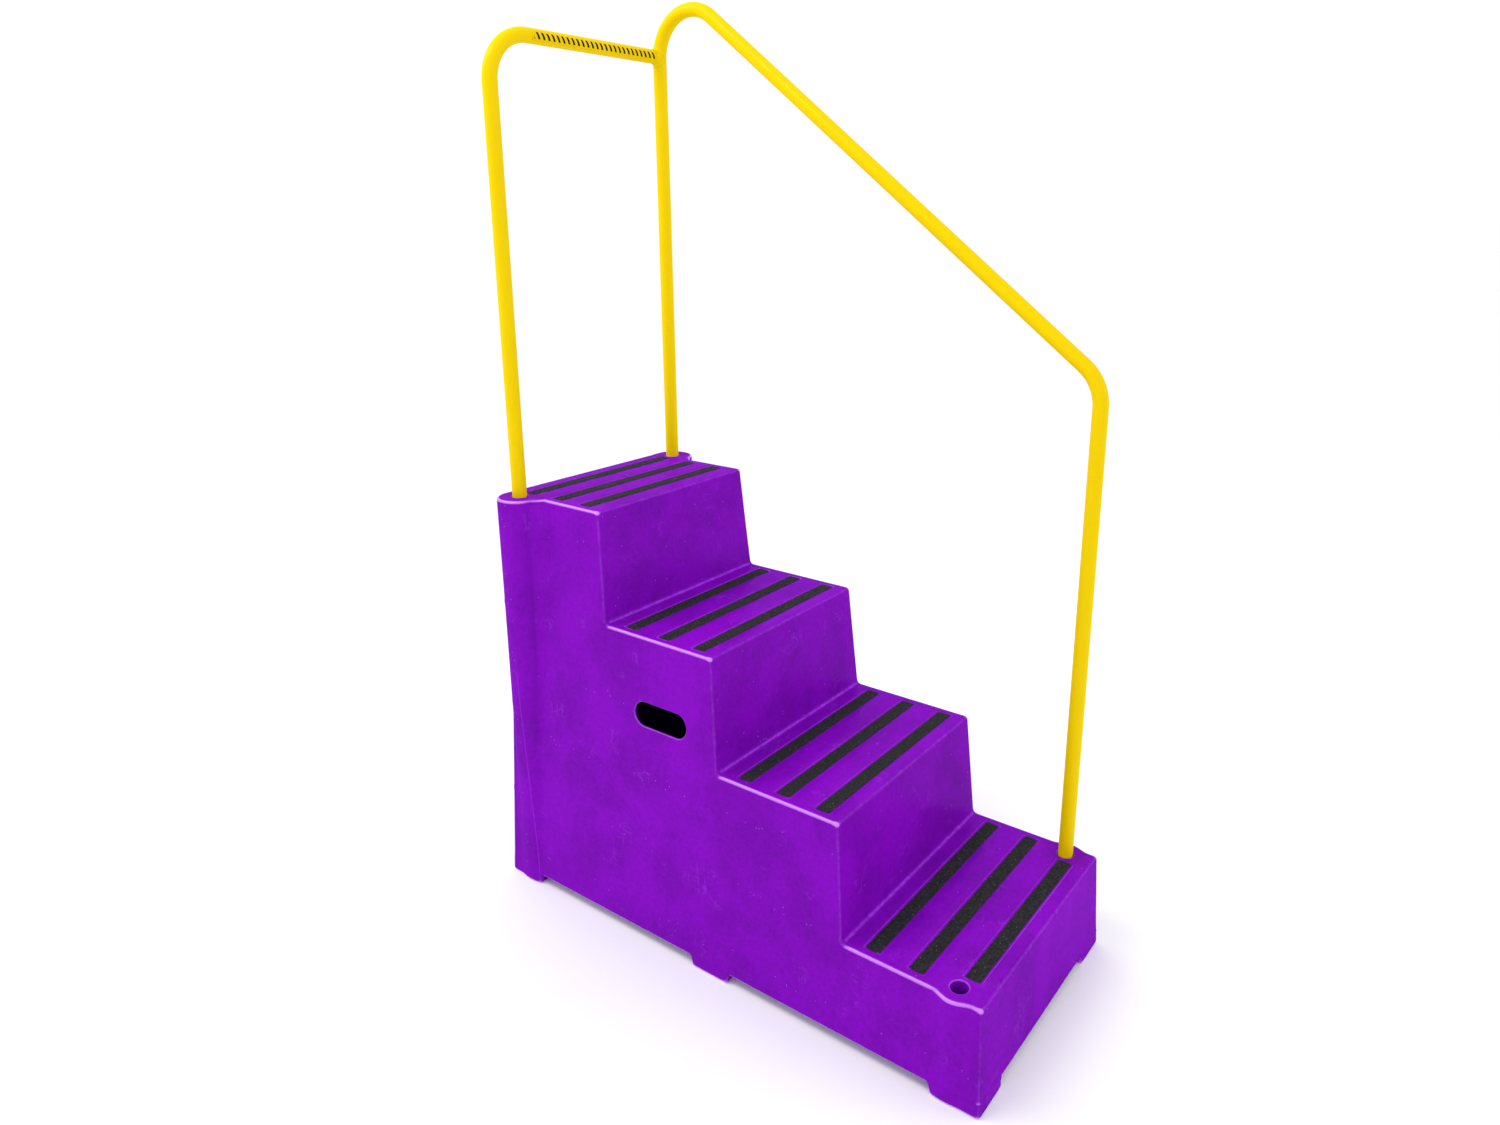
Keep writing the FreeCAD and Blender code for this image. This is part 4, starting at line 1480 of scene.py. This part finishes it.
@dataclass
class NodeKit:
    """Adds and joins the nodes of one shader tree."""

    tree: bpy.types.NodeTree

    def feed(self, socket: bpy.types.NodeSocket, value: object) -> None:
        """Join a socket to another one, or set it to a plain value.

        Args:
            socket: the input.
            value: a socket or a value.
        """
        if isinstance(value, bpy.types.NodeSocket):
            self.tree.links.new(value, socket)
        else:
            socket.default_value = value

    def add(self, kind: str, inputs: dict | None = None, **settings: object) -> bpy.types.Node:
        """New node with its settings and inputs.

        Args:
            kind: type of the node.
            inputs: socket or value for each input.
            settings: properties of the node.

        Returns:
            The node.
        """
        node = self.tree.nodes.new(kind)
        for key, value in settings.items():
            setattr(node, key, value)
        for key, value in (inputs or {}).items():
            self.feed(node.inputs[key], value)
        return node

    def place(self) -> bpy.types.NodeSocket:
        """Object coordinates."""
        return self.add("ShaderNodeTexCoord").outputs["Object"]

    def math(self, operation: str, a: object, b: object = 0.0, clamp: bool = False) -> bpy.types.NodeSocket:
        """Result of one sum on two numbers."""
        return self.add("ShaderNodeMath", {0: a, 1: b}, operation=operation, use_clamp=clamp).outputs[0]

    def times(self, *values: object) -> bpy.types.NodeSocket:
        """Product of numbers, taken two at a time."""
        return reduce(lambda a, b: self.math("MULTIPLY", a, b), values)

    def noise(self, vector: object, scale: object, detail: float = 2.0,
              rough: float = 0.5) -> bpy.types.NodeSocket:
        """Fractal noise from 0 to 1."""
        inputs = {"Vector": vector, "Scale": scale, "Detail": detail, "Roughness": rough}
        return self.add("ShaderNodeTexNoise", inputs).outputs[0]

    def cells(self, vector: object, scale: object) -> bpy.types.Node:
        """Cell noise node."""
        return self.add("ShaderNodeTexVoronoi", {"Vector": vector, "Scale": scale})

    def stretch(self, vector: object, scale: tuple[float, float, float]) -> bpy.types.NodeSocket:
        """Vector scaled by different amounts along the three axes."""
        return self.add("ShaderNodeMapping", {"Vector": vector, "Scale": scale}).outputs[0]

    def ease(self, value: object, low: object, high: object, to_low: object = 0.0,
             to_high: object = 1.0) -> bpy.types.NodeSocket:
        """Value eased from one range to another."""
        inputs = {"Value": value, "From Min": low, "From Max": high, "To Min": to_low, "To Max": to_high}
        return self.add("ShaderNodeMapRange", inputs, interpolation_type="SMOOTHSTEP").outputs[0]

    def fall(self, value: object, low: object, high: object) -> bpy.types.NodeSocket:
        """1 up to the low value, easing to 0 at the high one."""
        return self.ease(value, low, high, 1.0, 0.0)

    def mix(self, factor: object, a: object, b: object, share: float = 1.0) -> bpy.types.NodeSocket:
        """Colour between two colours.

        Args:
            factor: how much of the second colour, from 0 to 1.
            a: first colour.
            b: second colour.
            share: what the factor is multiplied by.

        Returns:
            The mixed colour.
        """
        factor = factor if share == 1.0 else self.times(factor, share)
        node = self.tree.nodes.new("ShaderNodeMix")
        node.data_type = "RGBA"
        for socket, value in zip((node.inputs[0], node.inputs[6], node.inputs[7]), (factor, a, b)):
            self.feed(socket, value)
        return node.outputs[2]

    def bump(self, height: object, distance: float, strength: float,
             normal: object = None) -> bpy.types.NodeSocket:
        """Normal bent by a height.

        Args:
            height: socket with the height.
            distance: height of a full step.
            strength: share of the effect.
            normal: normal to start from, or none.

        Returns:
            The bent normal.
        """
        inputs = {"Height": height, "Distance": distance, "Strength": strength}
        if normal is not None:
            inputs["Normal"] = normal
        return self.add("ShaderNodeBump", inputs).outputs[0]

    def group(self, group: bpy.types.NodeTree, **inputs: object) -> bpy.types.Node:
        """Place an effect with its own values."""
        named = {name.replace("_", " "): value for name, value in inputs.items()}
        return self.add("ShaderNodeGroup", named, node_tree=group)

    def masked(self, group: bpy.types.NodeTree, **inputs: object) -> bpy.types.NodeSocket:
        """Mask of an effect with its own values."""
        return self.group(group, **inputs).outputs["Mask"]


class Effects:
    """Node groups that more than one finish uses, each built once."""

    def __init__(self) -> None:
        """Build the groups."""
        self.mottle = self.build_mottle()
        self.scuffs = self.build_scuffs()
        self.specks = self.build_specks()
        self.skin = self.build_skin()

    @staticmethod
    def start(name: str, inputs: dict[str, object], outputs: dict[str, str]) -> tuple:
        """New group with named sockets.

        Args:
            name: name of the group.
            inputs: starting value of each input; four numbers make a colour.
            outputs: kind of each output socket.

        Returns:
            Node kit, group input node and group output node.
        """
        tree = bpy.data.node_groups.new(name, "ShaderNodeTree")
        for key, value in inputs.items():
            kind = "NodeSocketColor" if isinstance(value, tuple) else "NodeSocketFloat"
            socket = tree.interface.new_socket(name=key, in_out="INPUT", socket_type=kind)
            socket.default_value = value
        for key, kind in outputs.items():
            tree.interface.new_socket(name=key, in_out="OUTPUT", socket_type=kind)
        kit = NodeKit(tree)
        return kit, kit.add("NodeGroupInput"), kit.add("NodeGroupOutput")

    def build_mottle(self) -> bpy.types.NodeTree:
        """Uneven tone: broad clouds and fine flecks that mix a second colour into the first.

        Returns:
            The group.
        """
        white = (1.0, 1.0, 1.0, 1.0)
        inputs = {"Colour": white, "Second Colour": white}
        inputs |= {"Cloud Scale": 9.0, "Fleck Scale": 140.0, "Amount": 0.3}
        outputs = {"Colour": "NodeSocketColor", "Mask": "NodeSocketFloat"}
        kit, given, result = self.start("Mottle", inputs, outputs)
        place = kit.place()
        clouds = kit.ease(kit.noise(place, given.outputs["Cloud Scale"], 4.0, 0.6), 0.36, 0.66)
        flecks = kit.ease(kit.noise(place, given.outputs["Fleck Scale"], 3.0, 0.7), 0.40, 0.68)
        mask = kit.math("ADD", kit.times(clouds, 0.6), kit.times(flecks, 0.4))
        factor = kit.math("MULTIPLY", mask, given.outputs["Amount"], clamp=True)
        mixed = kit.mix(factor, given.outputs["Colour"], given.outputs["Second Colour"])
        kit.feed(result.inputs["Colour"], mixed)
        kit.feed(result.inputs["Mask"], mask)
        return kit.tree

    def build_scuffs(self) -> bpy.types.NodeTree:
        """Short pale scratches: thin ridges of stretched noise, kept only in a few patches.

        Returns:
            The group.
        """
        inputs = {"Scale": 12.0, "Amount": 0.5}
        kit, given, result = self.start("Scuffs", inputs, {"Mask": "NodeSocketFloat"})
        place = kit.place()
        masks = []
        for stretch in ((1.0, 7.0, 0.6), (5.0, 0.7, 1.2), (0.8, 1.2, 8.0)):
            lines = kit.noise(kit.stretch(place, stretch), given.outputs["Scale"], 3.0, 0.6)
            ridge = kit.math("ABSOLUTE", kit.math("SUBTRACT", lines, 0.5))
            masks.append(kit.fall(ridge, 0.0, 0.012))
        thin = reduce(lambda a, b: kit.math("MAXIMUM", a, b), masks)
        patch_noise = kit.noise(place, kit.times(given.outputs["Scale"], 1.7), 2.0)
        patches = kit.ease(patch_noise, 0.57, 0.68)
        mask = kit.math("MULTIPLY", kit.times(thin, patches), given.outputs["Amount"], clamp=True)
        kit.feed(result.inputs["Mask"], mask)
        return kit.tree

    def build_specks(self) -> bpy.types.NodeTree:
        """Sparse round specks: the cores of a few of the cells.

        Returns:
            The group.
        """
        inputs = {"Scale": 90.0, "Share": 0.08, "Size": 0.16}
        kit, given, result = self.start("Specks", inputs, {"Mask": "NodeSocketFloat"})
        cells = kit.cells(kit.place(), given.outputs["Scale"])
        pick = kit.add("ShaderNodeSeparateColor", {0: cells.outputs["Color"]}).outputs[0]
        chosen = kit.math("LESS_THAN", pick, given.outputs["Share"])
        size = given.outputs["Size"]
        core = kit.fall(cells.outputs["Distance"], kit.times(size, 0.5), size)
        kit.feed(result.inputs["Mask"], kit.times(chosen, core))
        return kit.tree

    def build_skin(self) -> bpy.types.NodeTree:
        """Height of a lightly pebbled skin, from a coarse swell and a fine grain.

        Returns:
            The group.
        """
        inputs = {"Swell Scale": 60.0, "Grain Scale": 600.0, "Grain Share": 0.3}
        kit, given, result = self.start("Skin", inputs, {"Height": "NodeSocketFloat"})
        place = kit.place()
        swell = kit.noise(place, given.outputs["Swell Scale"], 2.0)
        grain = kit.noise(place, given.outputs["Grain Scale"], 2.0, 0.6)
        height = kit.math("ADD", swell, kit.times(grain, given.outputs["Grain Share"]))
        kit.feed(result.inputs["Height"], height)
        return kit.tree


def new_material(name: str) -> tuple[bpy.types.Material, NodeKit, bpy.types.Node]:
    """Material with an empty principled shader joined to its output.

    Args:
        name: name of the material.
    """
    material = bpy.data.materials.new(name)
    material.use_nodes = True
    material.node_tree.nodes.clear()
    kit = NodeKit(material.node_tree)
    shader = kit.add("ShaderNodeBsdfPrincipled")
    kit.add("ShaderNodeOutputMaterial", {"Surface": shader.outputs[0]})
    return material, kit, shader


def set_shader(kit: NodeKit, shader: bpy.types.Node, **values: object) -> None:
    """Feed the shader's sockets; an underscore stands for a space."""
    for name, value in values.items():
        kit.feed(shader.inputs[name.replace("_", " ")], value)


@dataclass(frozen=True)
class PlasticFinish:
    """Rotation-moulded polyethylene: deep purple and cloudy, polished along the edges, with pale painted
    highlights along them and in the riser-foot corners.
    """

    base: Colour = display_colour(127, 10, 184)
    cloud: Colour = display_colour(100, 8, 149)
    # Pale colour painted along the rounded edges as a highlight.
    rub_and_highlight: Colour = display_colour(208, 128, 250)
    # Pale colour for the painted highlight line at the riser feet, and for the scuffs and the mould line.
    pale_mark_and_highlight: Colour = display_colour(168, 62, 232)
    speck: Colour = display_colour(196, 130, 240)
    mould_line_foot: float = 456.8 * MM
    mould_line_lean: float = 0.0471
    mould_line_top: float = 540 * MM
    mould_line_from: float = 240 * MM
    mould_line_width: float = 1.5 * MM
    gloss: float = 0.0
    patch_scale: float = 90.0
    edge_patches: float = 0.12
    edge_range: tuple = (0.045, 0.19)
    corner_patches: float = 0.3
    corner_range: tuple = (0.06, 0.15)
    roughness: tuple = (0.38, 0.5)
    least_polish: float = 0.06
    polish_roughness: float = 0.3

    def mould_line(self, kit: NodeKit) -> bpy.types.NodeSocket:
        """Thin line where the halves of the mould meet, leaning along each rear pillar.

        The line lies where a point's place along the flight, less its height times the lean, equals
        the line's foot; it fades out towards the top and shows on the pillars only.

        Args:
            kit: nodes of the material.

        Returns:
            A mask, 1 on the line.
        """
        parts = kit.add("ShaderNodeSeparateXYZ", {0: kit.place()})
        across = kit.math("ABSOLUTE", parts.outputs[0])
        leaned = kit.times(parts.outputs[2], self.mould_line_lean)
        along = kit.math("SUBTRACT", parts.outputs[1], leaned)
        gap = kit.math("ABSOLUTE", kit.math("SUBTRACT", along, self.mould_line_foot))
        line = kit.fall(gap, 0.0, self.mould_line_width)
        outside = kit.math("GREATER_THAN", across, self.mould_line_from)
        fade = kit.fall(parts.outputs[2], self.mould_line_top * 0.8, self.mould_line_top)
        return kit.times(line, outside, fade)

    def build(self, effects: Effects) -> bpy.types.Material:
        """Make the material.

        Args:
            effects: shared node groups.

        Returns:
            The material.
        """
        material, kit, shader = new_material("moulded_plastic")
        tone = kit.group(effects.mottle, Colour=self.base, Second_Colour=self.cloud, Cloud_Scale=8.0,
                         Fleck_Scale=120.0, Amount=0.8)
        bend = kit.add("ShaderNodeAttribute", attribute_name="edge").outputs["Fac"]
        grain = kit.noise(kit.place(), self.patch_scale, 4.0, 0.75)
        patchy = kit.times(kit.math("SUBTRACT", grain, 0.5), 0.5)
        rub_and_highlight = kit.math("ADD", bend, kit.times(patchy, self.edge_patches))
        edge = kit.ease(rub_and_highlight, *self.edge_range)
        # Painted highlight line in the riser-foot corners, where the edge attribute is below 0.
        hollow = kit.math("SUBTRACT", kit.times(patchy, self.corner_patches), bend)
        corner = kit.ease(hollow, *self.corner_range)
        scuffs = kit.masked(effects.scuffs, Scale=9.0, Amount=0.5)
        specks = kit.masked(effects.specks, Scale=130.0, Share=0.06, Size=0.13)
        # Painted highlights from the edge attribute: pale along the rounded edges, and a pale line in the
        # riser-foot corners.
        colour = kit.mix(edge, tone.outputs["Colour"], self.rub_and_highlight, share=0.75)
        colour = kit.mix(corner, colour, self.pale_mark_and_highlight, share=0.7)
        colour = kit.mix(scuffs, colour, self.pale_mark_and_highlight, share=0.45)
        colour = kit.mix(self.mould_line(kit), colour, self.pale_mark_and_highlight, share=0.35)
        colour = kit.mix(specks, colour, self.speck, share=0.7)
        smooth = kit.ease(tone.outputs["Mask"], 0.0, 1.0, *self.roughness)
        rough = kit.math("ADD", smooth, kit.times(scuffs, 0.15))
        skin = kit.group(effects.skin, Swell_Scale=55.0, Grain_Scale=700.0, Grain_Share=0.12)
        normal = kit.bump(skin.outputs["Height"], 0.9 * MM, 0.5)
        normal = kit.bump(scuffs, 0.1 * MM, 0.4, normal)
        polish = kit.ease(edge, 0.0, 1.0, self.least_polish, 1.0)
        set_shader(kit, shader, Base_Color=colour, Roughness=rough, Specular_IOR_Level=self.gloss,
                   Normal=normal, Coat_Weight=polish, Coat_Roughness=self.polish_roughness)
        return material


@dataclass(frozen=True)
class TapeFinish:
    """Mineral grit in black resin."""

    base: Colour = display_colour(20, 20, 21)
    grit: Colour = display_colour(54, 54, 56)
    # Colour of the painted glints on the grit.
    spark: Colour = display_colour(150, 150, 154)

    def build(self, effects: Effects) -> bpy.types.Material:
        """Make the material.

        Args:
            effects: shared node groups.

        Returns:
            The material.
        """
        material, kit, shader = new_material("grip_tape")
        place = kit.place()
        grains = kit.cells(place, 620.0)
        coarse = kit.noise(place, 380.0, 4.0, 0.75)
        tone = kit.group(effects.mottle, Colour=self.base, Second_Colour=self.grit, Cloud_Scale=240.0,
                         Fleck_Scale=620.0, Amount=0.9)
        # Pale specks: painted glints on the grit, which is also glossier there.
        sparks = kit.masked(effects.specks, Scale=330.0, Share=0.05, Size=0.3)
        colour = kit.mix(sparks, tone.outputs["Colour"], self.spark, share=0.6)
        height = kit.math("ADD", kit.times(grains.outputs["Distance"], -0.6), coarse)
        normal = kit.bump(height, 1.6 * MM, 0.9)
        rough = kit.ease(sparks, 0.0, 1.0, 0.92, 0.55)
        set_shader(kit, shader, Base_Color=colour, Roughness=rough, Specular_IOR_Level=0.15, Normal=normal)
        return material


@dataclass(frozen=True)
class PaintFinish:
    """Bright yellow powder coat with a little orange peel and a few rubbed marks."""

    base: Colour = display_colour(230, 198, 0)
    deep: Colour = display_colour(222, 188, 0)
    rub_and_highlight: Colour = display_colour(240, 214, 60)
    grime: Colour = display_colour(140, 118, 10)
    gloss: float = 0.0
    roughness: tuple = (0.26, 0.36)
    lacquer: float = 0.12
    lacquer_roughness: float = 0.14

    def build(self, effects: Effects) -> bpy.types.Material:
        """Make the material.

        Args:
            effects: shared node groups.

        Returns:
            The material.
        """
        material, kit, shader = new_material("rail_paint")
        tone = kit.group(effects.mottle, Colour=self.base, Second_Colour=self.deep, Cloud_Scale=6.0,
                         Fleck_Scale=200.0, Amount=0.4)
        scuffs = kit.masked(effects.scuffs, Scale=16.0, Amount=0.1)
        specks = kit.masked(effects.specks, Scale=150.0, Share=0.03, Size=0.14)
        colour = kit.mix(scuffs, tone.outputs["Colour"], self.rub_and_highlight, share=0.5)
        colour = kit.mix(specks, colour, self.grime, share=0.5)
        smooth = kit.ease(tone.outputs["Mask"], 0.0, 1.0, *self.roughness)
        rough = kit.math("ADD", smooth, kit.times(scuffs, 0.2))
        skin = kit.group(effects.skin, Swell_Scale=320.0, Grain_Scale=900.0, Grain_Share=0.25)
        set_shader(kit, shader, Base_Color=colour, Roughness=rough, Specular_IOR_Level=self.gloss,
                   Coat_Weight=self.lacquer, Coat_Roughness=self.lacquer_roughness,
                   Normal=kit.bump(skin.outputs["Height"], 0.008 * MM, 0.4))
        return material


@dataclass(frozen=True)
class BandFinish:
    """Yellow film printed with a row of plain slanted black bars."""

    film: Colour = display_colour(226, 194, 0)
    deep: Colour = display_colour(218, 185, 0)
    ink: Colour = display_colour(12, 11, 8)
    bars: float = 27.0
    slant: float = 0.8
    filled: float = 0.42
    height: float = 0.62
    bar_soft: float = 0.02
    end_soft: float = 0.015
    run_ends: tuple = (0.485, 0.488)
    gloss: float = 0.0
    lacquer: float = 0.12
    lacquer_roughness: float = 0.3

    def build(self, effects: Effects) -> bpy.types.Material:
        """Make the material.

        Args:
            effects: shared node groups.

        Returns:
            The material.
        """
        material, kit, shader = new_material("marking_band")
        place = kit.add("ShaderNodeUVMap", uv_map="band").outputs[0]
        parts = kit.add("ShaderNodeSeparateXYZ", {0: place})
        across, up = parts.outputs[0], parts.outputs[1]
        wave = kit.math("ADD", kit.times(across, self.bars), kit.times(up, self.slant))
        phase = kit.math("ABSOLUTE", kit.math("SUBTRACT", kit.math("FRACT", wave), 0.5))
        bar = kit.fall(phase, self.filled / 2 - self.bar_soft, self.filled / 2 + self.bar_soft)
        from_middle = kit.math("ABSOLUTE", kit.math("SUBTRACT", up, 0.5))
        within = kit.fall(from_middle, self.height / 2 - self.end_soft, self.height / 2 + self.end_soft)
        from_centre = kit.math("ABSOLUTE", kit.math("SUBTRACT", across, 0.5))
        mark = kit.times(bar, within, kit.fall(from_centre, *self.run_ends))
        tone = kit.group(effects.mottle, Colour=self.film, Second_Colour=self.deep, Cloud_Scale=20.0,
                         Fleck_Scale=300.0, Amount=0.4)
        scuffs = kit.masked(effects.scuffs, Scale=22.0, Amount=0.5)
        worn = kit.times(mark, kit.math("SUBTRACT", 1.0, kit.times(scuffs, 0.5)))
        colour = kit.mix(worn, tone.outputs["Colour"], self.ink)
        rough = kit.ease(worn, 0.0, 1.0, 0.3, 0.42)
        set_shader(kit, shader, Base_Color=colour, Roughness=rough, Specular_IOR_Level=self.gloss,
                   Coat_Weight=self.lacquer, Coat_Roughness=self.lacquer_roughness,
                   Normal=kit.bump(worn, 0.03 * MM, 0.5))
        return material


@dataclass(frozen=True)
class PlugFinish:
    """Black moulded rubber."""

    base: Colour = display_colour(26, 26, 27)
    pale_mark_and_highlight: Colour = display_colour(58, 56, 54)

    def build(self, effects: Effects) -> bpy.types.Material:
        """Make the material.

        Args:
            effects: shared node groups.

        Returns:
            The material.
        """
        material, kit, shader = new_material("leg_plug")
        tone = kit.group(effects.mottle, Colour=self.base, Second_Colour=self.pale_mark_and_highlight, Cloud_Scale=60.0,
                         Fleck_Scale=500.0, Amount=0.5)
        scuffs = kit.masked(effects.scuffs, Scale=40.0, Amount=0.6)
        colour = kit.mix(scuffs, tone.outputs["Colour"], self.pale_mark_and_highlight, share=0.5)
        rough = kit.ease(tone.outputs["Mask"], 0.0, 1.0, 0.55, 0.75)
        skin = kit.group(effects.skin, Swell_Scale=200.0, Grain_Scale=1400.0, Grain_Share=0.4)
        normal = kit.bump(skin.outputs["Height"], 0.2 * MM, 0.5)
        set_shader(kit, shader, Base_Color=colour, Roughness=rough, Normal=normal)
        return material


@dataclass(frozen=True)
class FloorFinish:
    """Plain pale floor."""

    base: Colour = (0.95, 0.95, 0.95, 1.0)
    second: Colour = (0.93, 0.93, 0.93, 1.0)

    def build(self, effects: Effects) -> bpy.types.Material:
        """Make the material.

        Args:
            effects: shared node groups.

        Returns:
            The material.
        """
        material, kit, shader = new_material("pale_floor")
        tone = kit.group(effects.mottle, Colour=self.base, Second_Colour=self.second, Cloud_Scale=2.0,
                         Fleck_Scale=30.0, Amount=0.5)
        set_shader(kit, shader, Base_Color=tone.outputs["Colour"], Roughness=0.9, Specular_IOR_Level=0.1)
        return material


class Finishes:
    """One material for each slot, and the floor's."""

    def __init__(self) -> None:
        """Build the effects and then the materials."""
        effects = Effects()
        self.plastic = PlasticFinish().build(effects)
        self.tape = TapeFinish().build(effects)
        self.paint = PaintFinish().build(effects)
        self.band = BandFinish().build(effects)
        self.plug = PlugFinish().build(effects)
        self.floor = FloorFinish().build(effects)


# ---------------------------------------------------------------- studio

@dataclass(frozen=True)
class Softbox:
    """Area light aimed at a point, its long side kept along the flight."""

    name: str
    place: tuple[float, float, float]
    target: tuple[float, float, float]
    width: float
    length: float
    power: float

    def build(self) -> None:
        """Make the light."""
        lamp = bpy.data.lights.new(self.name, "AREA")
        lamp.shape = "RECTANGLE"
        lamp.size = self.width
        lamp.size_y = self.length
        lamp.energy = self.power
        back = (Vector(self.place) - Vector(self.target)).normalized()
        along = Vector((0.0, 1.0, 0.0))
        along = (along - back * along.dot(back)).normalized()
        turn = Matrix((along.cross(back), along, back)).transposed().to_4x4()
        item = bpy.data.objects.new(self.name, lamp)
        item.matrix_world = Matrix.Translation(Vector(self.place)) @ turn
        bpy.context.scene.collection.objects.link(item)


@dataclass
class Studio:
    """Floor, soft light and camera."""

    floor_size: float = 400.0
    sky: Colour = (1.0, 1.0, 1.0, 1.0)
    sky_strength: float = 1.07
    boxes: tuple = (
        Softbox("overhead_strip", (-1.2, 1.3, 2.95), (0.0, 0.0, 0.4), 0.8, 2.6, 35.0),
        Softbox("front", (1.6, -3.6, 2.0), (0.0, 0.0, 0.4), 2.2, 2.2, 18.0),
    )
    camera_place: tuple = (-1.4413, -1.0704, 1.3471)
    azimuth: float = math.radians(-54.846)
    elevation: float = math.radians(15.303)
    roll: float = math.radians(0.308)
    lens: float = 24.846
    sensor_width: float = 36.0
    shift: tuple = (-0.04338, -0.04594)

    def build_floor(self, material: bpy.types.Material) -> None:
        """Level square at floor height.

        Args:
            material: pale floor.
        """
        half = self.floor_size / 2
        corners = np.array([(-half, -half, 0), (half, -half, 0), (half, half, 0), (-half, half, 0)], float)
        item = new_mesh_object("floor", corners, [np.array([[0, 1, 2, 3]])], smooth=False)
        item.data.materials.append(material)

    def build_sky(self) -> None:
        """Even pale surroundings."""
        world = bpy.data.worlds.new("surroundings")
        world.use_nodes = True
        background = world.node_tree.nodes["Background"]
        background.inputs["Color"].default_value = self.sky
        background.inputs["Strength"].default_value = self.sky_strength
        bpy.context.scene.world = world

    def build_camera(self) -> None:
        """Camera that looks back along its own axis, turned by a small roll."""
        a, e = self.azimuth, self.elevation
        back = Vector((math.sin(a) * math.cos(e), -math.cos(a) * math.cos(e), math.sin(e)))
        level = Vector((math.cos(a), math.sin(a), 0.0))
        upright = back.cross(level)
        right = level * math.cos(self.roll) + upright * math.sin(self.roll)
        up = back.cross(right)
        lens = bpy.data.cameras.new("view")
        lens.sensor_width = self.sensor_width
        lens.lens = self.lens
        lens.shift_x, lens.shift_y = self.shift
        item = bpy.data.objects.new("view", lens)
        turn = Matrix((right, up, back)).transposed().to_4x4()
        item.matrix_world = Matrix.Translation(Vector(self.camera_place)) @ turn
        bpy.context.scene.collection.objects.link(item)
        bpy.context.scene.camera = item

    def build(self, material: bpy.types.Material) -> None:
        """Set up the floor, the lights and the camera.

        Args:
            material: material of the floor.
        """
        self.build_floor(material)
        self.build_sky()
        for box in self.boxes:
            box.build()
        self.build_camera()
        bpy.context.scene.view_settings.view_transform = "Standard"


def main() -> None:
    """Build the block, its tapes and the rail, then the studio round them."""
    logging.basicConfig(level=logging.INFO, format="%(message)s")
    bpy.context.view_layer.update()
    finishes = Finishes()
    sizes = BlockSizes()
    Moulding(sizes).build(finishes.plastic)
    GripTapes(sizes.strips).build(finishes.tape)
    Handrail(sizes).build(finishes)
    Studio().build(finishes.floor)


if __name__ == "__main__":
    main()
